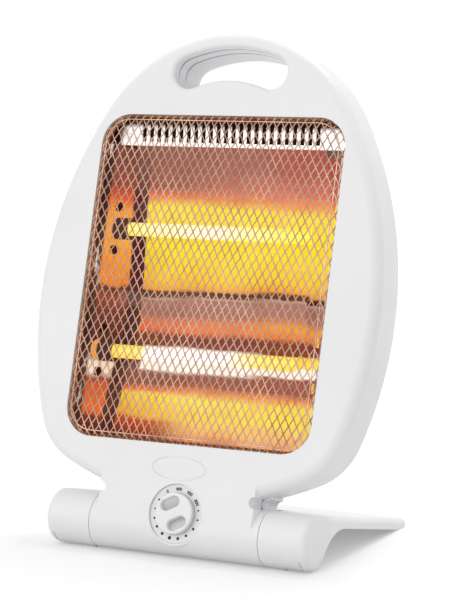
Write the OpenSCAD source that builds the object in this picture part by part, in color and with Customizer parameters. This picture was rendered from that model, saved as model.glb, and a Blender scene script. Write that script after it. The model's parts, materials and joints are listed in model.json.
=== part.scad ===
// Two-tube quartz room heater: an egg-shaped head leaning on a folding stand.
// Stand pieces are drawn in the part's frame: X right, Y backward, Z up, table at Z = 0.
// Head pieces are drawn in the head's own frame: X right, Y up the head, Z out of its face,
// with the hinge axis along X through the origin.  on_head() places them.

/* [Stand] */
// Length of the hinge bar, which is the width of the stand
stand_w = 207; // [200:1:216]
// Radius of the hinge bar
bar_r = 19.4; // [18.8:0.1:20]
// Distance from the hinge axis to the rear edge of the plate
stand_reach = 158; // [145:1:172]
// Height of the plate's rear edge above the table
rear_edge_h = 6; // [5.5:0.1:7]
// Depth of the plate's side walls, measured square to its top
plate_depth = 8.5; // [8:0.1:9.5]
// Wall thickness of the stand moulding
stand_wall = 2.6; // [2.2:0.1:2.8]
// Rounding of the stand's side edges
stand_edge_r = 5; // [4.5:0.1:6]
// Radius of the arch under each sleeve
arch_r = 36; // [34:0.5:38]
// Distance behind the axis at which the arch meets the plate's underside
arch_end = 46.5; // [45:0.5:49]
// Distance behind the axis of the cut-out's edge behind the drum
cutout_reach = 31; // [30:0.5:35]
// Width of the solid rear lip of the plate
lip_w = 11; // [10:0.5:14]
// Height of the feet below the bar
foot_h = 0.6; // [0.4:0.1:1]
// Depth to which the feet are let into the moulding
foot_inset = 1; // [0.8:0.1:1.2]
// Length of each front foot along the bar
front_foot_l = 12; // [9:0.5:13]
// Width of each front foot across the bar
front_foot_w = 10; // [7:0.5:10]
// Radius of each rear foot
rear_foot_r = 4; // [3:0.5:4.5]
// Distance of each rear foot from the middle of the stand
rear_foot_x = 85; // [70:1:90]
// Thickness of the cover under each sleeve
cover_t = 2; // [1.6:0.1:2.4]
// Width of the short locating groove round each sleeve's outer end
groove_w = 1.2; // [0.8:0.1:1.6]
// Depth of the short locating groove
groove_t = 0.8; // [0.5:0.1:1]
// Distance of the locating groove from the outer end of the sleeve
groove_in = 6; // [5.8:0.1:8]

/* [Hinge] */
// Length of the drum between the two sleeves
drum_w = 133.6; // [130:0.2:137]
// Gap between the drum and each sleeve
seam_gap = 0.5; // [0.4:0.1:0.8]
// Thickness of the walls that carry the hinge bolts
hinge_wall = 3; // [2.6:0.1:3.4]
// Radius of the hinge bolts
bolt_r = 4; // [3.5:0.1:4.5]
// Radial play of a bolt in its bush
bolt_play = 0.05; // [0.03:0.01:0.08]
// Radius of the bolt heads
bolt_head_r = 7; // [6.5:0.5:8]
// Thickness of the bolt heads
bolt_head_t = 4; // [3:0.5:5]
// Wall thickness of the plastic bushes
bush_t = 2; // [1.6:0.1:2.6]
// Thickness of the friction washers
washer_t = 1; // [0.8:0.1:1.4]
// Radius of the friction washers
washer_r = 8.5; // [8:0.1:10]
// Thickness of the hinge nuts
nut_t = 4.3; // [3.6:0.1:5]

/* [Head shells] */
// Step from the drum's front to the flat face of the head
face_step = 0.1; // [0.1:0.1:0.4]
// Backward lean of the head at rest, in degrees
lean = 15.7; // [14:0.1:17]
// Width of the egg-shaped head
head_w = 272.2; // [268:0.2:276]
// Top of the head above the hinge axis, along the head
head_top = 357.6; // [354:0.2:362]
// Lowest point of the egg above the hinge axis, along the head
head_bottom = 18.8; // [18:0.1:19.6]
// Radius of the arc over the top of the egg
top_r = 112; // [108:1:116]
// Radius of the arcs down the sides of the egg
side_r = 275; // [262:1:290]
// Radius of the lower corner arcs of the egg
corner_r = 49.5; // [46:0.5:53]
// Radius of the arc under the egg
bottom_r = 221; // [212:1:232]
// Depth of the rear shell behind the hinge axis
rear_depth = 24; // [23:0.1:28]
// Wall thickness of the head's mouldings
head_wall = 2.4; // [2:0.1:2.6]
// Rounding of the front edge of the egg
face_edge_r = 8; // [7:0.1:9]
// Rounding of the rear edge of the egg
rear_round_r = 12; // [10:0.5:13]
// Width of the neck's front half between its two hollows
neck_w = 122.4; // [118:0.2:125]
// Width of the neck's rear half
rear_neck_w = 130; // [127:0.5:131]
// Radius of the hollow at each side of the neck
neck_hollow_r = 4.2; // [3.8:0.1:4.4]

/* [Handle slot] */
// Height of the grip between the slot and the top of the head
grip_h = 12.1; // [11.8:0.1:15]
// Height of the slot
slot_h = 24.6; // [22:0.2:27]
// Half of the angle that the slot spans about the top arc's centre
slot_half_angle = 22.1; // [19:0.1:24]
// Rounding of the slot's front edge
slot_edge_r = 3.5; // [3:0.1:4]
// Rounding of the slot's rear edge
slot_rear_r = 3; // [2.6:0.1:3.5]

/* [Guard] */
// Width of the opening in the face
opening_w = 195; // [190:1:198]
// Height of the opening in the face
opening_h = 237; // [232:1:240]
// Lower edge of the opening above the hinge axis
opening_v = 57.5; // [56:0.5:59]
// Corner radius of the opening
opening_r = 22; // [19:0.5:26]
// Gap between the guard and the edge of the opening
guard_gap = 0.5; // [0.3:0.1:0.8]
// Thickness of the guard's sheet
guard_t = 1; // [0.8:0.1:1.2]
// Height by which the guard stands proud of the face
guard_proud = 1.4; // [1:0.1:2]
// Outer radius of the guard's rolled edge
guard_roll_r = 4; // [3:0.1:5]
// Width of the guard's hidden flange behind the rim
guard_flange = 5; // [4:0.5:6]
// Number of diamonds across the guard
mesh_cols = 13; // [9:1:13]
// Number of diamonds up the guard
mesh_rows = 9; // [7:1:9]
// Width of the strands of the guard
strand_w = 1.3; // [1:0.1:2]

/* [Reflector] */
// Thickness of the bright sheet parts
sheet_t = 0.8; // [0.6:0.1:1]
// Half length of the troughs
trough_half = 76; // [72:0.5:78]
// Depth of both troughs
trough_depth = 22; // [20:0.5:23]
// Distance of the troughs' front edges ahead of the hinge axis
trough_n = 5; // [4.6:0.1:6]
// Lower edge of the lower trough
lower_trough_v = 62; // [60:0.5:64]
// Lower edge of the ridge between the troughs
ridge_v = 155; // [152:0.5:158]
// Height of the ridge between the troughs
ridge_h = 11; // [8:0.5:14]
// Upper edge of the upper trough
upper_trough_v = 273; // [270:0.5:276]
// Distance of each end plate's front edge from the middle
cheek_front_x = 92; // [90:0.5:94]
// Distance of each end plate's rear edge from the middle
cheek_rear_x = 80; // [79:0.5:83]
// Number of upright slots along the top louvre
louvre_slots = 24; // [16:1:28]
// Spacing of the louvre's slots
louvre_pitch = 6.1; // [5.6:0.1:6.4]
// Width of each louvre slot
louvre_slot_w = 3.2; // [2.4:0.1:3.8]
// Height of each louvre slot
louvre_slot_h = 14.5; // [12:0.5:16]

/* [Heating tubes] */
// Outer radius of the quartz tubes
tube_r = 5; // [4.5:0.1:5.4]
// Wall thickness of the quartz tubes
tube_wall = 1.2; // [1:0.1:1.4]
// Radius of the heating coils
coil_r = 2.6; // [2:0.1:3]
// Height of the upper tube above the hinge axis
upper_tube_v = 212.5; // [208:0.5:217]
// Height of the lower tube above the hinge axis
lower_tube_v = 122; // [118:0.5:126]
// Radius of the ceramic end caps
ceramic_r = 8; // [7.5:0.1:8.5]
// Inner end of each ceramic cap from the middle
ceramic_in_x = 75; // [74:0.5:76]
// Length of each ceramic cap
ceramic_l = 22; // [20:0.5:23]
// Depth to which a tube enters its caps
tube_seat = 8; // [6:0.5:10]
// Length of the bracket that holds a ceramic cap
bracket_l = 44; // [40:1:48]
// Width of the bracket that holds a ceramic cap
bracket_w = 20; // [19:0.5:22]
// Distance of each bracket screw from the cap's centre
bracket_screw = 16; // [14:0.5:17]

/* [Control] */
// Sideways place of the dial's centre
dial_x = 1.5; // [-2:0.5:3]
// Height of the dial's centre above the hinge axis
dial_v = 9.2; // [8.6:0.1:10]
// Radius of the dial's recess
dial_r = 21; // [20:0.5:22]
// Depth of the dial's printed face below the face of the head
dial_inset = 1.8; // [1.4:0.1:2.2]
// Thickness of the dial plate
dial_t = 1.5; // [1:0.1:1.8]
// Rim of the boss round the dial
dial_rim = 1.3; // [1:0.1:1.8]
// Radius of the knob
knob_r = 16.4; // [15:0.2:17]
// Height of the knob above the dial plate
knob_h = 6.2; // [5.6:0.1:7]
// Rounding-off of the knob's front edge
knob_edge = 0.8; // [0.5:0.1:1.2]
// Gap between the knob and the dial plate
knob_gap = 0.3; // [0.25:0.05:0.5]
// Turn of the knob's grip from the vertical, clockwise, in degrees
knob_turn = 62; // [40:1:70]
// Length of each finger scoop in the knob
scoop_l = 20; // [17:0.5:21]
// Width of each finger scoop
scoop_w = 8; // [7:0.2:9]
// Width of the grip between the scoops
grip_w = 9; // [7.5:0.5:10]
// Depth of the finger scoops
scoop_t = 4.6; // [3:0.2:5]
// Radius of the switch shaft
shaft_r = 3; // [2.6:0.1:3.2]
// Radial play of the shaft in the switch
shaft_play = 0.05; // [0.03:0.01:0.08]
// Width of the square switch body
switch_w = 23; // [20:0.5:24]
// Depth of the switch body
switch_d = 14; // [12:0.5:15]
// Radius of the switch's threaded neck
switch_neck_r = 4.5; // [4.2:0.1:5]
// Thickness of the nut on the switch's neck
switch_nut_t = 1.6; // [1.2:0.1:2]
// Width of the bare oval badge place
badge_w = 43; // [38:0.5:46]
// Height of the bare oval badge place
badge_h = 17; // [15:0.5:18]
// Height of the badge place's centre above the hinge axis
badge_v = 41; // [40:0.5:42]

/* [Inner parts] */
// Thickness of the heat shield
shield_t = 0.8; // [0.6:0.1:1]
// Radius of the thermal cut-out
cutout_r = 7.5; // [6.5:0.1:8.5]
// Height of the thermal cut-out
cutout_h = 10; // [8:0.5:11]
// Sideways place of the thermal cut-out
cutout_x = 40; // [30:1:50]
// Length of the terminal block
terminal_l = 40; // [32:1:44]
// Height of the terminal block, up the head
terminal_h = 14; // [12:0.5:15]
// Depth of the terminal block
terminal_d = 12; // [10:0.5:13]
// Sideways place of the terminal block
terminal_x = -36; // [-44:1:-30]
// Height of the terminal block's centre and the cable inlet above the hinge axis
terminal_v = 44; // [44:0.5:46]
// Sideways place of the cable inlet
inlet_x = 36; // [30:1:44]
// Radius of the cable inlet's bore
inlet_bore_r = 3.6; // [3.2:0.1:4]
// Wall of the cable inlet's bush
inlet_wall = 1.8; // [1.5:0.1:2.2]
// Half length of the rear vent rows
vent_half = 70; // [56:1:75]
// Spacing of the rear vent slots
vent_pitch = 7; // [6:0.2:8]
// Width of each rear vent slot
vent_w = 3.4; // [3:0.1:4]
// Height of each rear vent slot
vent_h = 26; // [22:1:30]
// Radius of the screws' shanks
screw_r = 1.6; // [1.4:0.1:1.8]
// Radius of the screws' heads
screw_head_r = 3.4; // [3.1:0.1:3.7]
// Thickness of the screws' heads
screw_head_t = 2; // [1.6:0.1:2.4]
// Radius of the bosses that the screws enter
boss_r = 4; // [3.8:0.1:4.4]
// Distance behind the axis at which the shell screws' heads seat
screw_seat = 6; // [5:0.5:8]

/* [Tip-over switch] */
// Distance of the tip-over switch from the middle of the stand
tip_x = 91.5; // [91:0.5:92]
// Width of the tip-over switch along the bar
tip_w = 15; // [13:0.5:16]
// Depth of the tip-over switch across the bar
tip_d = 14; // [12:0.5:14]
// Height of the tip-over switch
tip_h = 18; // [17:0.5:19]
// Height of the tip-over switch's seat above the table
tip_seat = 7; // [6.6:0.1:7.4]
// Radius of the plunger
plunger_r = 2.5; // [2.2:0.1:2.8]
// Distance that the plunger drops when the stand is lifted
plunger_travel = 4; // [3:0.5:4.5]
// Radial play of the plunger in its switch
plunger_play = 0.05; // [0.03:0.01:0.08]

/* [Hidden] */
$fn = 96;

white = [0.93, 0.93, 0.94];
bright = [0.86, 0.84, 0.82];
steel = [0.62, 0.63, 0.65];
rubber = [0.12, 0.12, 0.13];
ceramic = [0.35, 0.24, 0.18];

eps = 0.01;
far = 400;

// Stand: heights and the plate's slope, from its reach and its rear edge
hinge_z = bar_r + foot_h;
plate_slope = atan2(hinge_z - rear_edge_h, stand_reach)
    + asin(bar_r / norm([stand_reach, hinge_z - rear_edge_h]));
plate_up = [sin(plate_slope), cos(plate_slope)];
plate_back = [cos(plate_slope), -sin(plate_slope)];
axis_yz = [0, hinge_z];
plate_front = axis_yz + bar_r * plate_up;
plate_rear = [stand_reach, rear_edge_h];
plate_len = norm(plate_rear - plate_front);
under_front = plate_front - plate_depth * plate_up;
arch_touch = under_front + (arch_end - under_front[0]) / plate_back[0] * plate_back;
arch_c = arch_touch - arch_r * plate_up;
half_w = stand_w / 2;
sleeve_in = drum_w / 2 + seam_gap;
web_out = sleeve_in + hinge_wall;

// The origin lies on the table, midway between the knob's front and the plate's rear edge
face_n = bar_r - face_step;
rear_neck_n = bar_r - 0.3;
dial_n = face_n - dial_inset;
knob_front = dial_n + knob_gap + knob_h;
knob_low_v = dial_v - knob_r + knob_edge;
front_reach = knob_front * cos(lean) - knob_low_v * sin(lean);
hinge_y = (front_reach - stand_reach) / 2;

// Egg outline: tangent arcs whose end angles are whole thousandths of a degree
// (the bottom arc is left out inside the neck, over neck_turn to each side)
neck_turn = 8;
top_c = [0, head_top - top_r];
a_top = thousandths(acos((side_r - head_w / 2) / (side_r - top_r)));
side_c = top_c - (side_r - top_r) * along(a_top);
bottom_v = head_bottom + bottom_r;
centre_gap = norm([0, bottom_v] - side_c);
corner_turn = acos((pow(side_r - corner_r, 2) + pow(centre_gap, 2) - pow(bottom_r - corner_r, 2))
    / (2 * centre_gap * (side_r - corner_r)));
a_side = thousandths(atan2(bottom_v - side_c[1], -side_c[0]) - corner_turn);
corner_c = side_c + (side_r - corner_r) * along(a_side);
a_corner = thousandths(atan2(corner_c[1] - bottom_v, corner_c[0]));
bottom_c = corner_c - (bottom_r - corner_r) * along(a_corner);
// The right-hand arcs from the bottom up: centre, radius, start angle, end angle
right_arcs = [
    [bottom_c, bottom_r, neck_turn - 90, a_corner],
    [corner_c, corner_r, a_corner, a_side],
    [side_c, side_r, a_side, a_top]
];
left_arcs = [
    for (arc = right_arcs) [[-arc[0][0], arc[0][1]], arc[1], 180 - arc[3], 180 - arc[2]]
];
egg_arcs = concat(right_arcs, [[top_c, top_r, a_top, 180 - a_top]], reversed(left_arcs));
rim_overlap = 6;

// Handle slot
slot_half_h = slot_h / 2;
slot_mid_r = top_r - grip_h - slot_half_h;

// Guard, rim and reflector levels
opening_mid = opening_v + opening_h / 2;
rim_wall = 2;
// The flat of a shell is a little thicker than its rim, inwards
flat_wall = head_wall + 0.1;
rim_back = face_n - 9.6;
guard_back = rim_back - guard_t;
cheek_n = guard_back - sheet_t;
shield_front = trough_n - trough_depth - sheet_t - 2;
cheek_back = shield_front + sheet_t;
cheek_rise = cheek_n + sheet_t - cheek_back;
cheek_run = cheek_front_x - cheek_rear_x;
cheek_turn = atan2(cheek_run, cheek_rise);
cheek_mid_x = cheek_rear_x + cheek_run * -cheek_back / cheek_rise;
cheek_low = lower_trough_v - 1;
cheek_high = upper_trough_v + 1.2;
flange_out = 17;
boss_x = opening_w / 2 + 8.8;
flange_screw_v = [opening_v + 22, opening_v + opening_h - 28];
boss_foot = cheek_n + sheet_t + 0.05;

// Shell screws: points inside the egg, the right-hand ones
shell_screw_points = [[118, 120], [116, 228], [64, 318], [82, 47]];
screw_hole_r = screw_r + 0.05;
shell_screw_in = 11;

// Switch
pocket_n = dial_n - dial_t;
switch_n = pocket_n - head_wall;
shaft_back = switch_n - switch_d + 5;
switch_nut_r = switch_neck_r + 2.6;

vent_lows = [64, 246];
terminal_n = flat_wall - rear_depth;

// ---------------------------------------------------------------- helpers

module on_head() translate([0, hinge_y, hinge_z]) rotate([90 - lean, 0, 0]) children();

// Head's drawing: a cylinder along X
module along_x(r, x0, x1) translate([x0, 0, 0]) rotate([0, 90, 0]) cylinder(r = r, h = x1 - x0);

// A (Y, Z) outline run along X from x0 to x1
module run_x(x0, x1) translate([x0, 0, 0]) rotate([90, 0, 90]) linear_extrude(x1 - x0) children();

function mirrored(points) = concat(points, [for (p = points) [-p[0], p[1]]]);

function thousandths(a) = round(a * 1000) / 1000;
function along(a) = [cos(a), sin(a)];
function reversed(list) = [for (i = [len(list) - 1 : -1 : 0]) list[i]];

// A move in two steps, coarse and fine, so that no digit of a centre is lost
module to_centre(c) {
    coarse = [for (q = c) round(q * 100) / 100];
    translate(coarse) translate(c - coarse) children();
}

// Points of the egg outline drawn in by inset, for the flat part of a shell
function egg_points(inset) = [
    for (arc = egg_arcs)
        let (steps = max(3, ceil((arc[3] - arc[2]) / 8)))
            for (i = [0 : steps - 1])
                let (a = arc[2] + (arc[3] - arc[2]) * i / steps)
                    arc[0] + (arc[1] - inset) * [cos(a), sin(a)]
];

// A section whose X = 0 lies on an arc, swept from its start angle to its end angle
module sweep_arc(c, r, from, to)
    to_centre(c) rotate_extrude(start = from, angle = to - from) translate([r, 0]) children();

// A section whose X = 0 lies on the outline, swept round the egg
module round_egg()
    for (arc = egg_arcs) sweep_arc(arc[0], arc[1], arc[2], arc[3]) children();

// Section of a shell's rim: a wall that turns over an edge of radius edge_r
module rim_block(width, height, edge_r)
    difference() {
        translate([-width, 0]) square([width, height]);
        difference() {
            translate([-edge_r, height - edge_r]) square(edge_r + 1);
            translate([-edge_r, height - edge_r]) circle(edge_r);
        }
    }

module rim_section(height, edge_r)
    difference() {
        rim_block(edge_r + rim_overlap, height, edge_r);
        translate([-head_wall, -head_wall])
            rim_block(edge_r + rim_overlap + 1, height, edge_r - head_wall);
    }

// One shell of the egg, open at Z = 0
module egg_shell(height, edge_r) {
    round_egg() rim_section(height, edge_r);
    translate([0, 0, height - flat_wall])
        linear_extrude(flat_wall) polygon(egg_points(edge_r + rim_overlap / 2));
}

// A half section, X = 0 on the slot's middle line, swept round the handle slot
module round_slot() {
    slot_right = 90 - slot_half_angle;
    slot_left = 90 + slot_half_angle;
    sweep_arc(top_c, slot_mid_r, slot_right, slot_left) {
        children();
        mirror([1, 0]) children();
    }
    sweep_arc(top_c + slot_mid_r * along(slot_right), 0, slot_right - 180, slot_right) children();
    sweep_arc(top_c + slot_mid_r * along(slot_left), 0, slot_left, slot_left + 180) children();
}

// Half section of the slot's cut, flaring over an edge of radius edge_r at height
module slot_cut_section(height, edge_r)
    difference() {
        translate([0, -1]) square([slot_half_h + edge_r, height + 2]);
        translate([slot_half_h, -2]) square([edge_r + 1, height - edge_r + 2]);
        translate([slot_half_h + edge_r, height - edge_r]) circle(edge_r);
    }

module slot_tunnel(height)
    round_slot() square([slot_half_h + head_wall, height - head_wall / 2]);

module slot_cut(height, edge_r) round_slot() slot_cut_section(height, edge_r);

module rounded_rect(w, h, r) {
    square([w - 2 * r, h], center = true);
    square([w, h - 2 * r], center = true);
    for (sx = [-1, 1], sy = [-1, 1])
        translate([sx * (w / 2 - r), sy * (h / 2 - r)]) circle(r);
}

// A section, X = 0 on the edge of a rounded rectangle, swept round it
module round_frame(w, h, r) {
    for (i = [0 : 3])
        let (sx = (i == 0 || i == 3) ? 1 : -1, sy = i < 2 ? 1 : -1)
            translate([sx * (w / 2 - r), sy * (h / 2 - r), 0]) rotate([0, 0, 90 * i])
                rotate_extrude(angle = 90) translate([r, 0]) children();
    for (i = [0 : 3])
        let (out = i % 2 == 0 ? w / 2 : h / 2, run = (i % 2 == 0 ? h : w) - 2 * r)
            rotate([0, 0, 90 * i]) translate([out, run / 2, 0])
                rotate([90, 0, 0]) linear_extrude(run) children();
}

// Screw drawn along Z: head below Z = 0, shank above
module screw(shank) {
    translate([0, 0, -screw_head_t]) cylinder(r = screw_head_r, h = screw_head_t);
    cylinder(r = screw_r, h = shank);
}

// ---------------------------------------------------------------- stand

// The hinge axis's frame, turned so that Y runs down the plate and Z stands square to it
module on_plate() translate([0, 0, hinge_z]) rotate([-plate_slope, 0, 0]) children();

// The bar and the plate between x0 and x1: one section, X = 0 on the axis, turned round the bar
// and run down the plate to length back
module bar_and_plate(back) on_plate() {
    rotate([0, 90, 0]) rotate([0, 0, 180]) rotate_extrude(angle = 250) children();
    rotate([-90, -90, 0]) linear_extrude(back) children();
}

module slab_section(x0, x1, inset) translate([0, x0]) square([bar_r - inset, x1 - x0]);

module outer_section() {
    slab_section(stand_edge_r - half_w, half_w - stand_edge_r, 0);
    slab_section(-half_w, half_w, stand_edge_r);
    for (side = [-1, 1])
        translate([bar_r - stand_edge_r, side * (half_w - stand_edge_r)]) circle(stand_edge_r);
}

// What is cut from under the sleeves and the plate
module under_cut() {
    translate(arch_c) rotate(-plate_slope) {
        circle(arch_r);
        translate([0, arch_r - far]) square([far, far]);
    }
    translate([-far / 2, foot_h - far]) square([far, far]);
}

module end_groove(side)
    translate([side * (half_w - groove_in), 0, hinge_z]) rotate([0, 90, 0]) rotate([0, 0, -62])
        rotate_extrude(angle = 34) translate([bar_r - groove_t, -groove_w / 2])
            square([groove_t + 1, groove_w]);

module stand_shell() color(white) translate([0, hinge_y, 0]) {
    difference() {
        union() {
            difference() {
                bar_and_plate(plate_len) outer_section();
                bar_and_plate(plate_len - lip_w)
                    slab_section(stand_wall - half_w, half_w - stand_wall, stand_wall);
            }
            for (side = [-1, 1]) {
                // Wall that carries the hinge bolt
                bar_and_plate(plate_len - 1) slab_section(
                    side > 0 ? sleeve_in : -web_out, side > 0 ? web_out : -sleeve_in, 1);
                // Boss for the sleeve cover's screw
                translate([side * cover_screw_x, cover_screw_y, foot_h]) cylinder(r = boss_r, h = cover_boss_h);
            }
            // Seat of the tip-over switch
            translate([-tip_x - tip_w / 2, -tip_d / 2, foot_h + 1])
                cube([tip_w, tip_d, tip_seat - foot_h - 1]);
            // Turned-down edge of the cut-out behind the drum
            translate([-sleeve_in - 1, cutout_reach, foot_h])
                cube([2 * sleeve_in + 2, stand_wall, plate_front[1] - foot_h - cutout_reach * tan(plate_slope)]);
        }
        run_x(-far, far) under_cut();
        // Room for the drum and the neck
        translate([-sleeve_in, -far, -1]) cube([2 * sleeve_in, far + cutout_reach, far]);
        for (side = [-1, 1]) {
            translate([0, 0, hinge_z]) mirror([side > 0 ? 0 : 1, 0, 0])
                along_x(bolt_r + bolt_play, sleeve_in - 1, web_out + 1);
            // Sleeve cover's seat and screw hole
            run_x(side > 0 ? web_out + 0.1 : -half_w + stand_wall + 0.1,
                  side > 0 ? half_w - stand_wall - 0.1 : -web_out - 0.1)
                translate(arch_c) circle(arch_r + cover_t);
            translate([side * cover_screw_x, cover_screw_y, 0])
                cylinder(r = screw_hole_r, h = cover_seat_z + cover_screw_l);
            end_groove(side);
            // Pockets for the feet
            translate([side * front_foot_mid() - front_foot_l / 2, -front_foot_w / 2, -1])
                cube([front_foot_l, front_foot_w, 1 + foot_h + foot_inset]);
            translate([side * rear_foot_x, rear_foot_y(), -1])
                cylinder(r = rear_foot_r, h = 1 + foot_h + foot_inset);
        }
        translate([-tip_x, 0, -1]) cylinder(r = plunger_r + 0.3, h = tip_seat + 2);
    }
}

// The sleeve covers' screws stand at the crown of the arch
cover_screw_x = web_out + 12;
cover_screw_y = arch_c[0];
cover_seat_z = arch_c[1] + arch_r;
cover_screw_l = 6.2;
cover_boss_h = plate_front[1] - (cover_screw_y - plate_front[0]) * tan(plate_slope) - 1 - foot_h;

function front_foot_mid() = web_out + front_foot_l / 2 - 0.5;
function rear_foot_y() = stand_reach - lip_w / 2;

module sleeve_cover(side) color(white) translate([0, hinge_y, 0])
    difference() {
        run_x(side > 0 ? web_out + 0.2 : -half_w + stand_wall + 0.2,
              side > 0 ? half_w - stand_wall - 0.2 : -web_out - 0.2)
            intersection() {
                difference() {
                    translate(arch_c) circle(arch_r + cover_t - 0.05);
                    translate(arch_c) circle(arch_r);
                }
                union() {
                    translate(axis_yz) circle(bar_r - stand_wall - 0.2);
                    translate([cover_front(), 0]) square([arch_end - cover_front(), far]);
                }
            }
        translate([side * cover_screw_x, cover_screw_y, 0]) cylinder(r = screw_r + 0.3, h = 40);
    }
function cover_front() = 11;

module sleeve_cover_left() sleeve_cover(-1);
module sleeve_cover_right() sleeve_cover(1);

module cover_screws() color(steel) translate([0, hinge_y, 0])
    for (side = [-1, 1])
        translate([side * cover_screw_x, cover_screw_y, cover_seat_z - 0.2]) screw(cover_screw_l);

module front_feet() color(rubber) translate([0, hinge_y, 0])
    for (side = [-1, 1])
        translate([side * front_foot_mid() - front_foot_l / 2, -front_foot_w / 2, 0])
            cube([front_foot_l, front_foot_w, foot_h + foot_inset]);

module rear_feet() color(rubber) translate([0, hinge_y, 0])
    for (side = [-1, 1])
        translate([side * rear_foot_x, rear_foot_y(), 0]) cylinder(r = rear_foot_r, h = foot_h + foot_inset);

// ---------------------------------------------------------------- hinge

// The bolt's head bears on the web, and its nut on the bush inside the drum
bush_in = drum_w / 2 - hinge_wall - washer_t;
nut_in = bush_in - nut_t;

module at_hinge() translate([0, hinge_y, hinge_z]) children();

module hinge_bolt(side) color(steel) at_hinge() mirror([side > 0 ? 0 : 1, 0, 0]) {
    along_x(bolt_r, nut_in - 1, web_out + washer_t + 0.5);
    along_x(bolt_head_r, web_out + washer_t, web_out + washer_t + bolt_head_t);
}
module hinge_bolt_left() hinge_bolt(-1);
module hinge_bolt_right() hinge_bolt(1);

module friction_washers() color(steel) at_hinge() for (side = [0, 1]) mirror([side, 0, 0])
    difference() {
        along_x(washer_r, web_out, web_out + washer_t);
        along_x(bolt_r + bolt_play, web_out - 1, web_out + washer_t + 1);
    }

module hinge_nuts() color(steel) at_hinge() for (side = [0, 1]) mirror([side, 0, 0])
    difference() {
        translate([nut_in, 0, 0]) rotate([0, 90, 0]) cylinder(r = bolt_head_r, h = nut_t, $fn = 6);
        along_x(bolt_r + eps, nut_in - 1, bush_in + 1);
    }

module hinge_bushes() color(rubber) on_head() for (side = [0, 1]) mirror([side, 0, 0])
    difference() {
        union() {
            along_x(bolt_r + bush_t, bush_in + washer_t / 2, drum_w / 2 + seam_gap / 2);
            along_x(washer_r, bush_in, drum_w / 2 - hinge_wall);
        }
        along_x(bolt_r + bolt_play, bush_in - 1, drum_w / 2 + 1);
    }

// ---------------------------------------------------------------- tip-over switch

module tip_switch_body() color([0.2, 0.2, 0.22]) translate([-tip_x, hinge_y, tip_seat])
    difference() {
        translate([-tip_w / 2, -tip_d / 2, 0]) cube([tip_w, tip_d, tip_h]);
        translate([0, 0, -1]) cylinder(r = plunger_r + plunger_play, h = tip_h);
        translate([0, 0, 1]) cylinder(r = collar_r + 0.3, h = tip_h - 3);
    }
collar_r = plunger_r + 1.2;

module tip_plunger() color([0.75, 0.75, 0.72]) translate([-tip_x, hinge_y, 0]) {
    cylinder(r = plunger_r, h = tip_seat + 8);
    translate([0, 0, tip_seat + 1.3 + plunger_travel]) cylinder(r = collar_r, h = 1.5);
}

// ---------------------------------------------------------------- head shells

// Outline of the neck, with a hollow at each side
module neck_outline(w, inset, top)
    difference() {
        translate([inset - w / 2, 0]) square([w - 2 * inset, top]);
        for (side = [-1, 1])
            translate([side * w / 2, neck_hollow_v]) circle(neck_hollow_r + inset);
    }
neck_top = head_bottom + 26;
rear_neck_top = head_bottom + 17;
neck_hollow_v = bar_r + neck_hollow_r - 1;

module half_space(front) translate([-far / 2, -far / 2, front ? -far : 0]) cube(far);

module drum(front)
    difference() {
        along_x(bar_r, -drum_w / 2, drum_w / 2);
        half_space(front);
    }

module drum_hollow() {
    along_x(bar_r - head_wall, hinge_wall - drum_w / 2, drum_w / 2 - hinge_wall);
    along_x(bolt_r + bush_t + 0.05, -drum_w / 2 - 1, drum_w / 2 + 1);
}

module front_bosses() {
    for (p = mirrored(shell_screw_points))
        translate([p[0], p[1], 0]) cylinder(r = boss_r, h = face_n - head_wall / 2);
    for (side = [-1, 1], v = flange_screw_v)
        translate([side * boss_x, v, boss_foot]) cylinder(r = boss_r, h = face_n - head_wall / 2 - boss_foot);
}

module front_boss_holes() {
    for (p = mirrored(shell_screw_points))
        translate([p[0], p[1], -1]) cylinder(r = screw_hole_r, h = shell_screw_in + 1.5);
    for (side = [-1, 1], v = flange_screw_v)
        translate([side * boss_x, v, boss_foot - 1]) cylinder(r = screw_hole_r, h = 8);
}

module badge_line()
    difference() {
        polygon([for (a = [0 : 7.5 : 359]) [badge_w / 2 * cos(a), badge_h / 2 * sin(a)]]);
        polygon([for (a = [0 : 7.5 : 359]) [(badge_w / 2 - 0.8) * cos(a), (badge_h / 2 - 0.8) * sin(a)]]);
    }

module front_shell() color(white) on_head()
    difference() {
        union() {
            difference() {
                union() {
                    egg_shell(face_n, face_edge_r);
                    linear_extrude(face_n) neck_outline(neck_w, 0, neck_top);
                    drum(true);
                }
                translate([0, 0, -1]) linear_extrude(face_n - head_wall + 1) neck_outline(neck_w, head_wall, neck_top);
                drum_hollow();
            }
            slot_tunnel(face_n);
            front_bosses();
            // Rim that turns back round the opening
            translate([0, opening_mid, 0]) round_frame(opening_w, opening_h, opening_r)
                translate([0, rim_back]) square([rim_wall, face_n - rim_back - head_wall / 2]);
            // Boss that carries the dial
            translate([dial_x, dial_v, switch_n]) cylinder(r = dial_r + dial_rim, h = dial_n - switch_n);
        }
        slot_cut(face_n, slot_edge_r);
        front_boss_holes();
        translate([0, opening_mid, face_n - head_wall - 1])
            linear_extrude(head_wall + 2) rounded_rect(opening_w, opening_h, opening_r);
        translate([dial_x, dial_v, pocket_n]) cylinder(r = dial_r, h = far);
        translate([dial_x, dial_v, 0]) cylinder(r = switch_neck_r + 0.1, h = far);
        translate([0, badge_v, face_n - 0.3]) linear_extrude(1) badge_line();
    }

module rear_posts()
    for (p = mirrored(shell_screw_points))
        translate([p[0], p[1], 0]) cylinder(r = screw_head_r + 2, h = rear_depth - head_wall / 2);

module rear_post_holes()
    for (p = mirrored(shell_screw_points)) {
        translate([p[0], p[1], -1]) cylinder(r = screw_r + 0.3, h = far);
        translate([p[0], p[1], screw_seat]) cylinder(r = screw_head_r + 0.3, h = far);
    }

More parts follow.
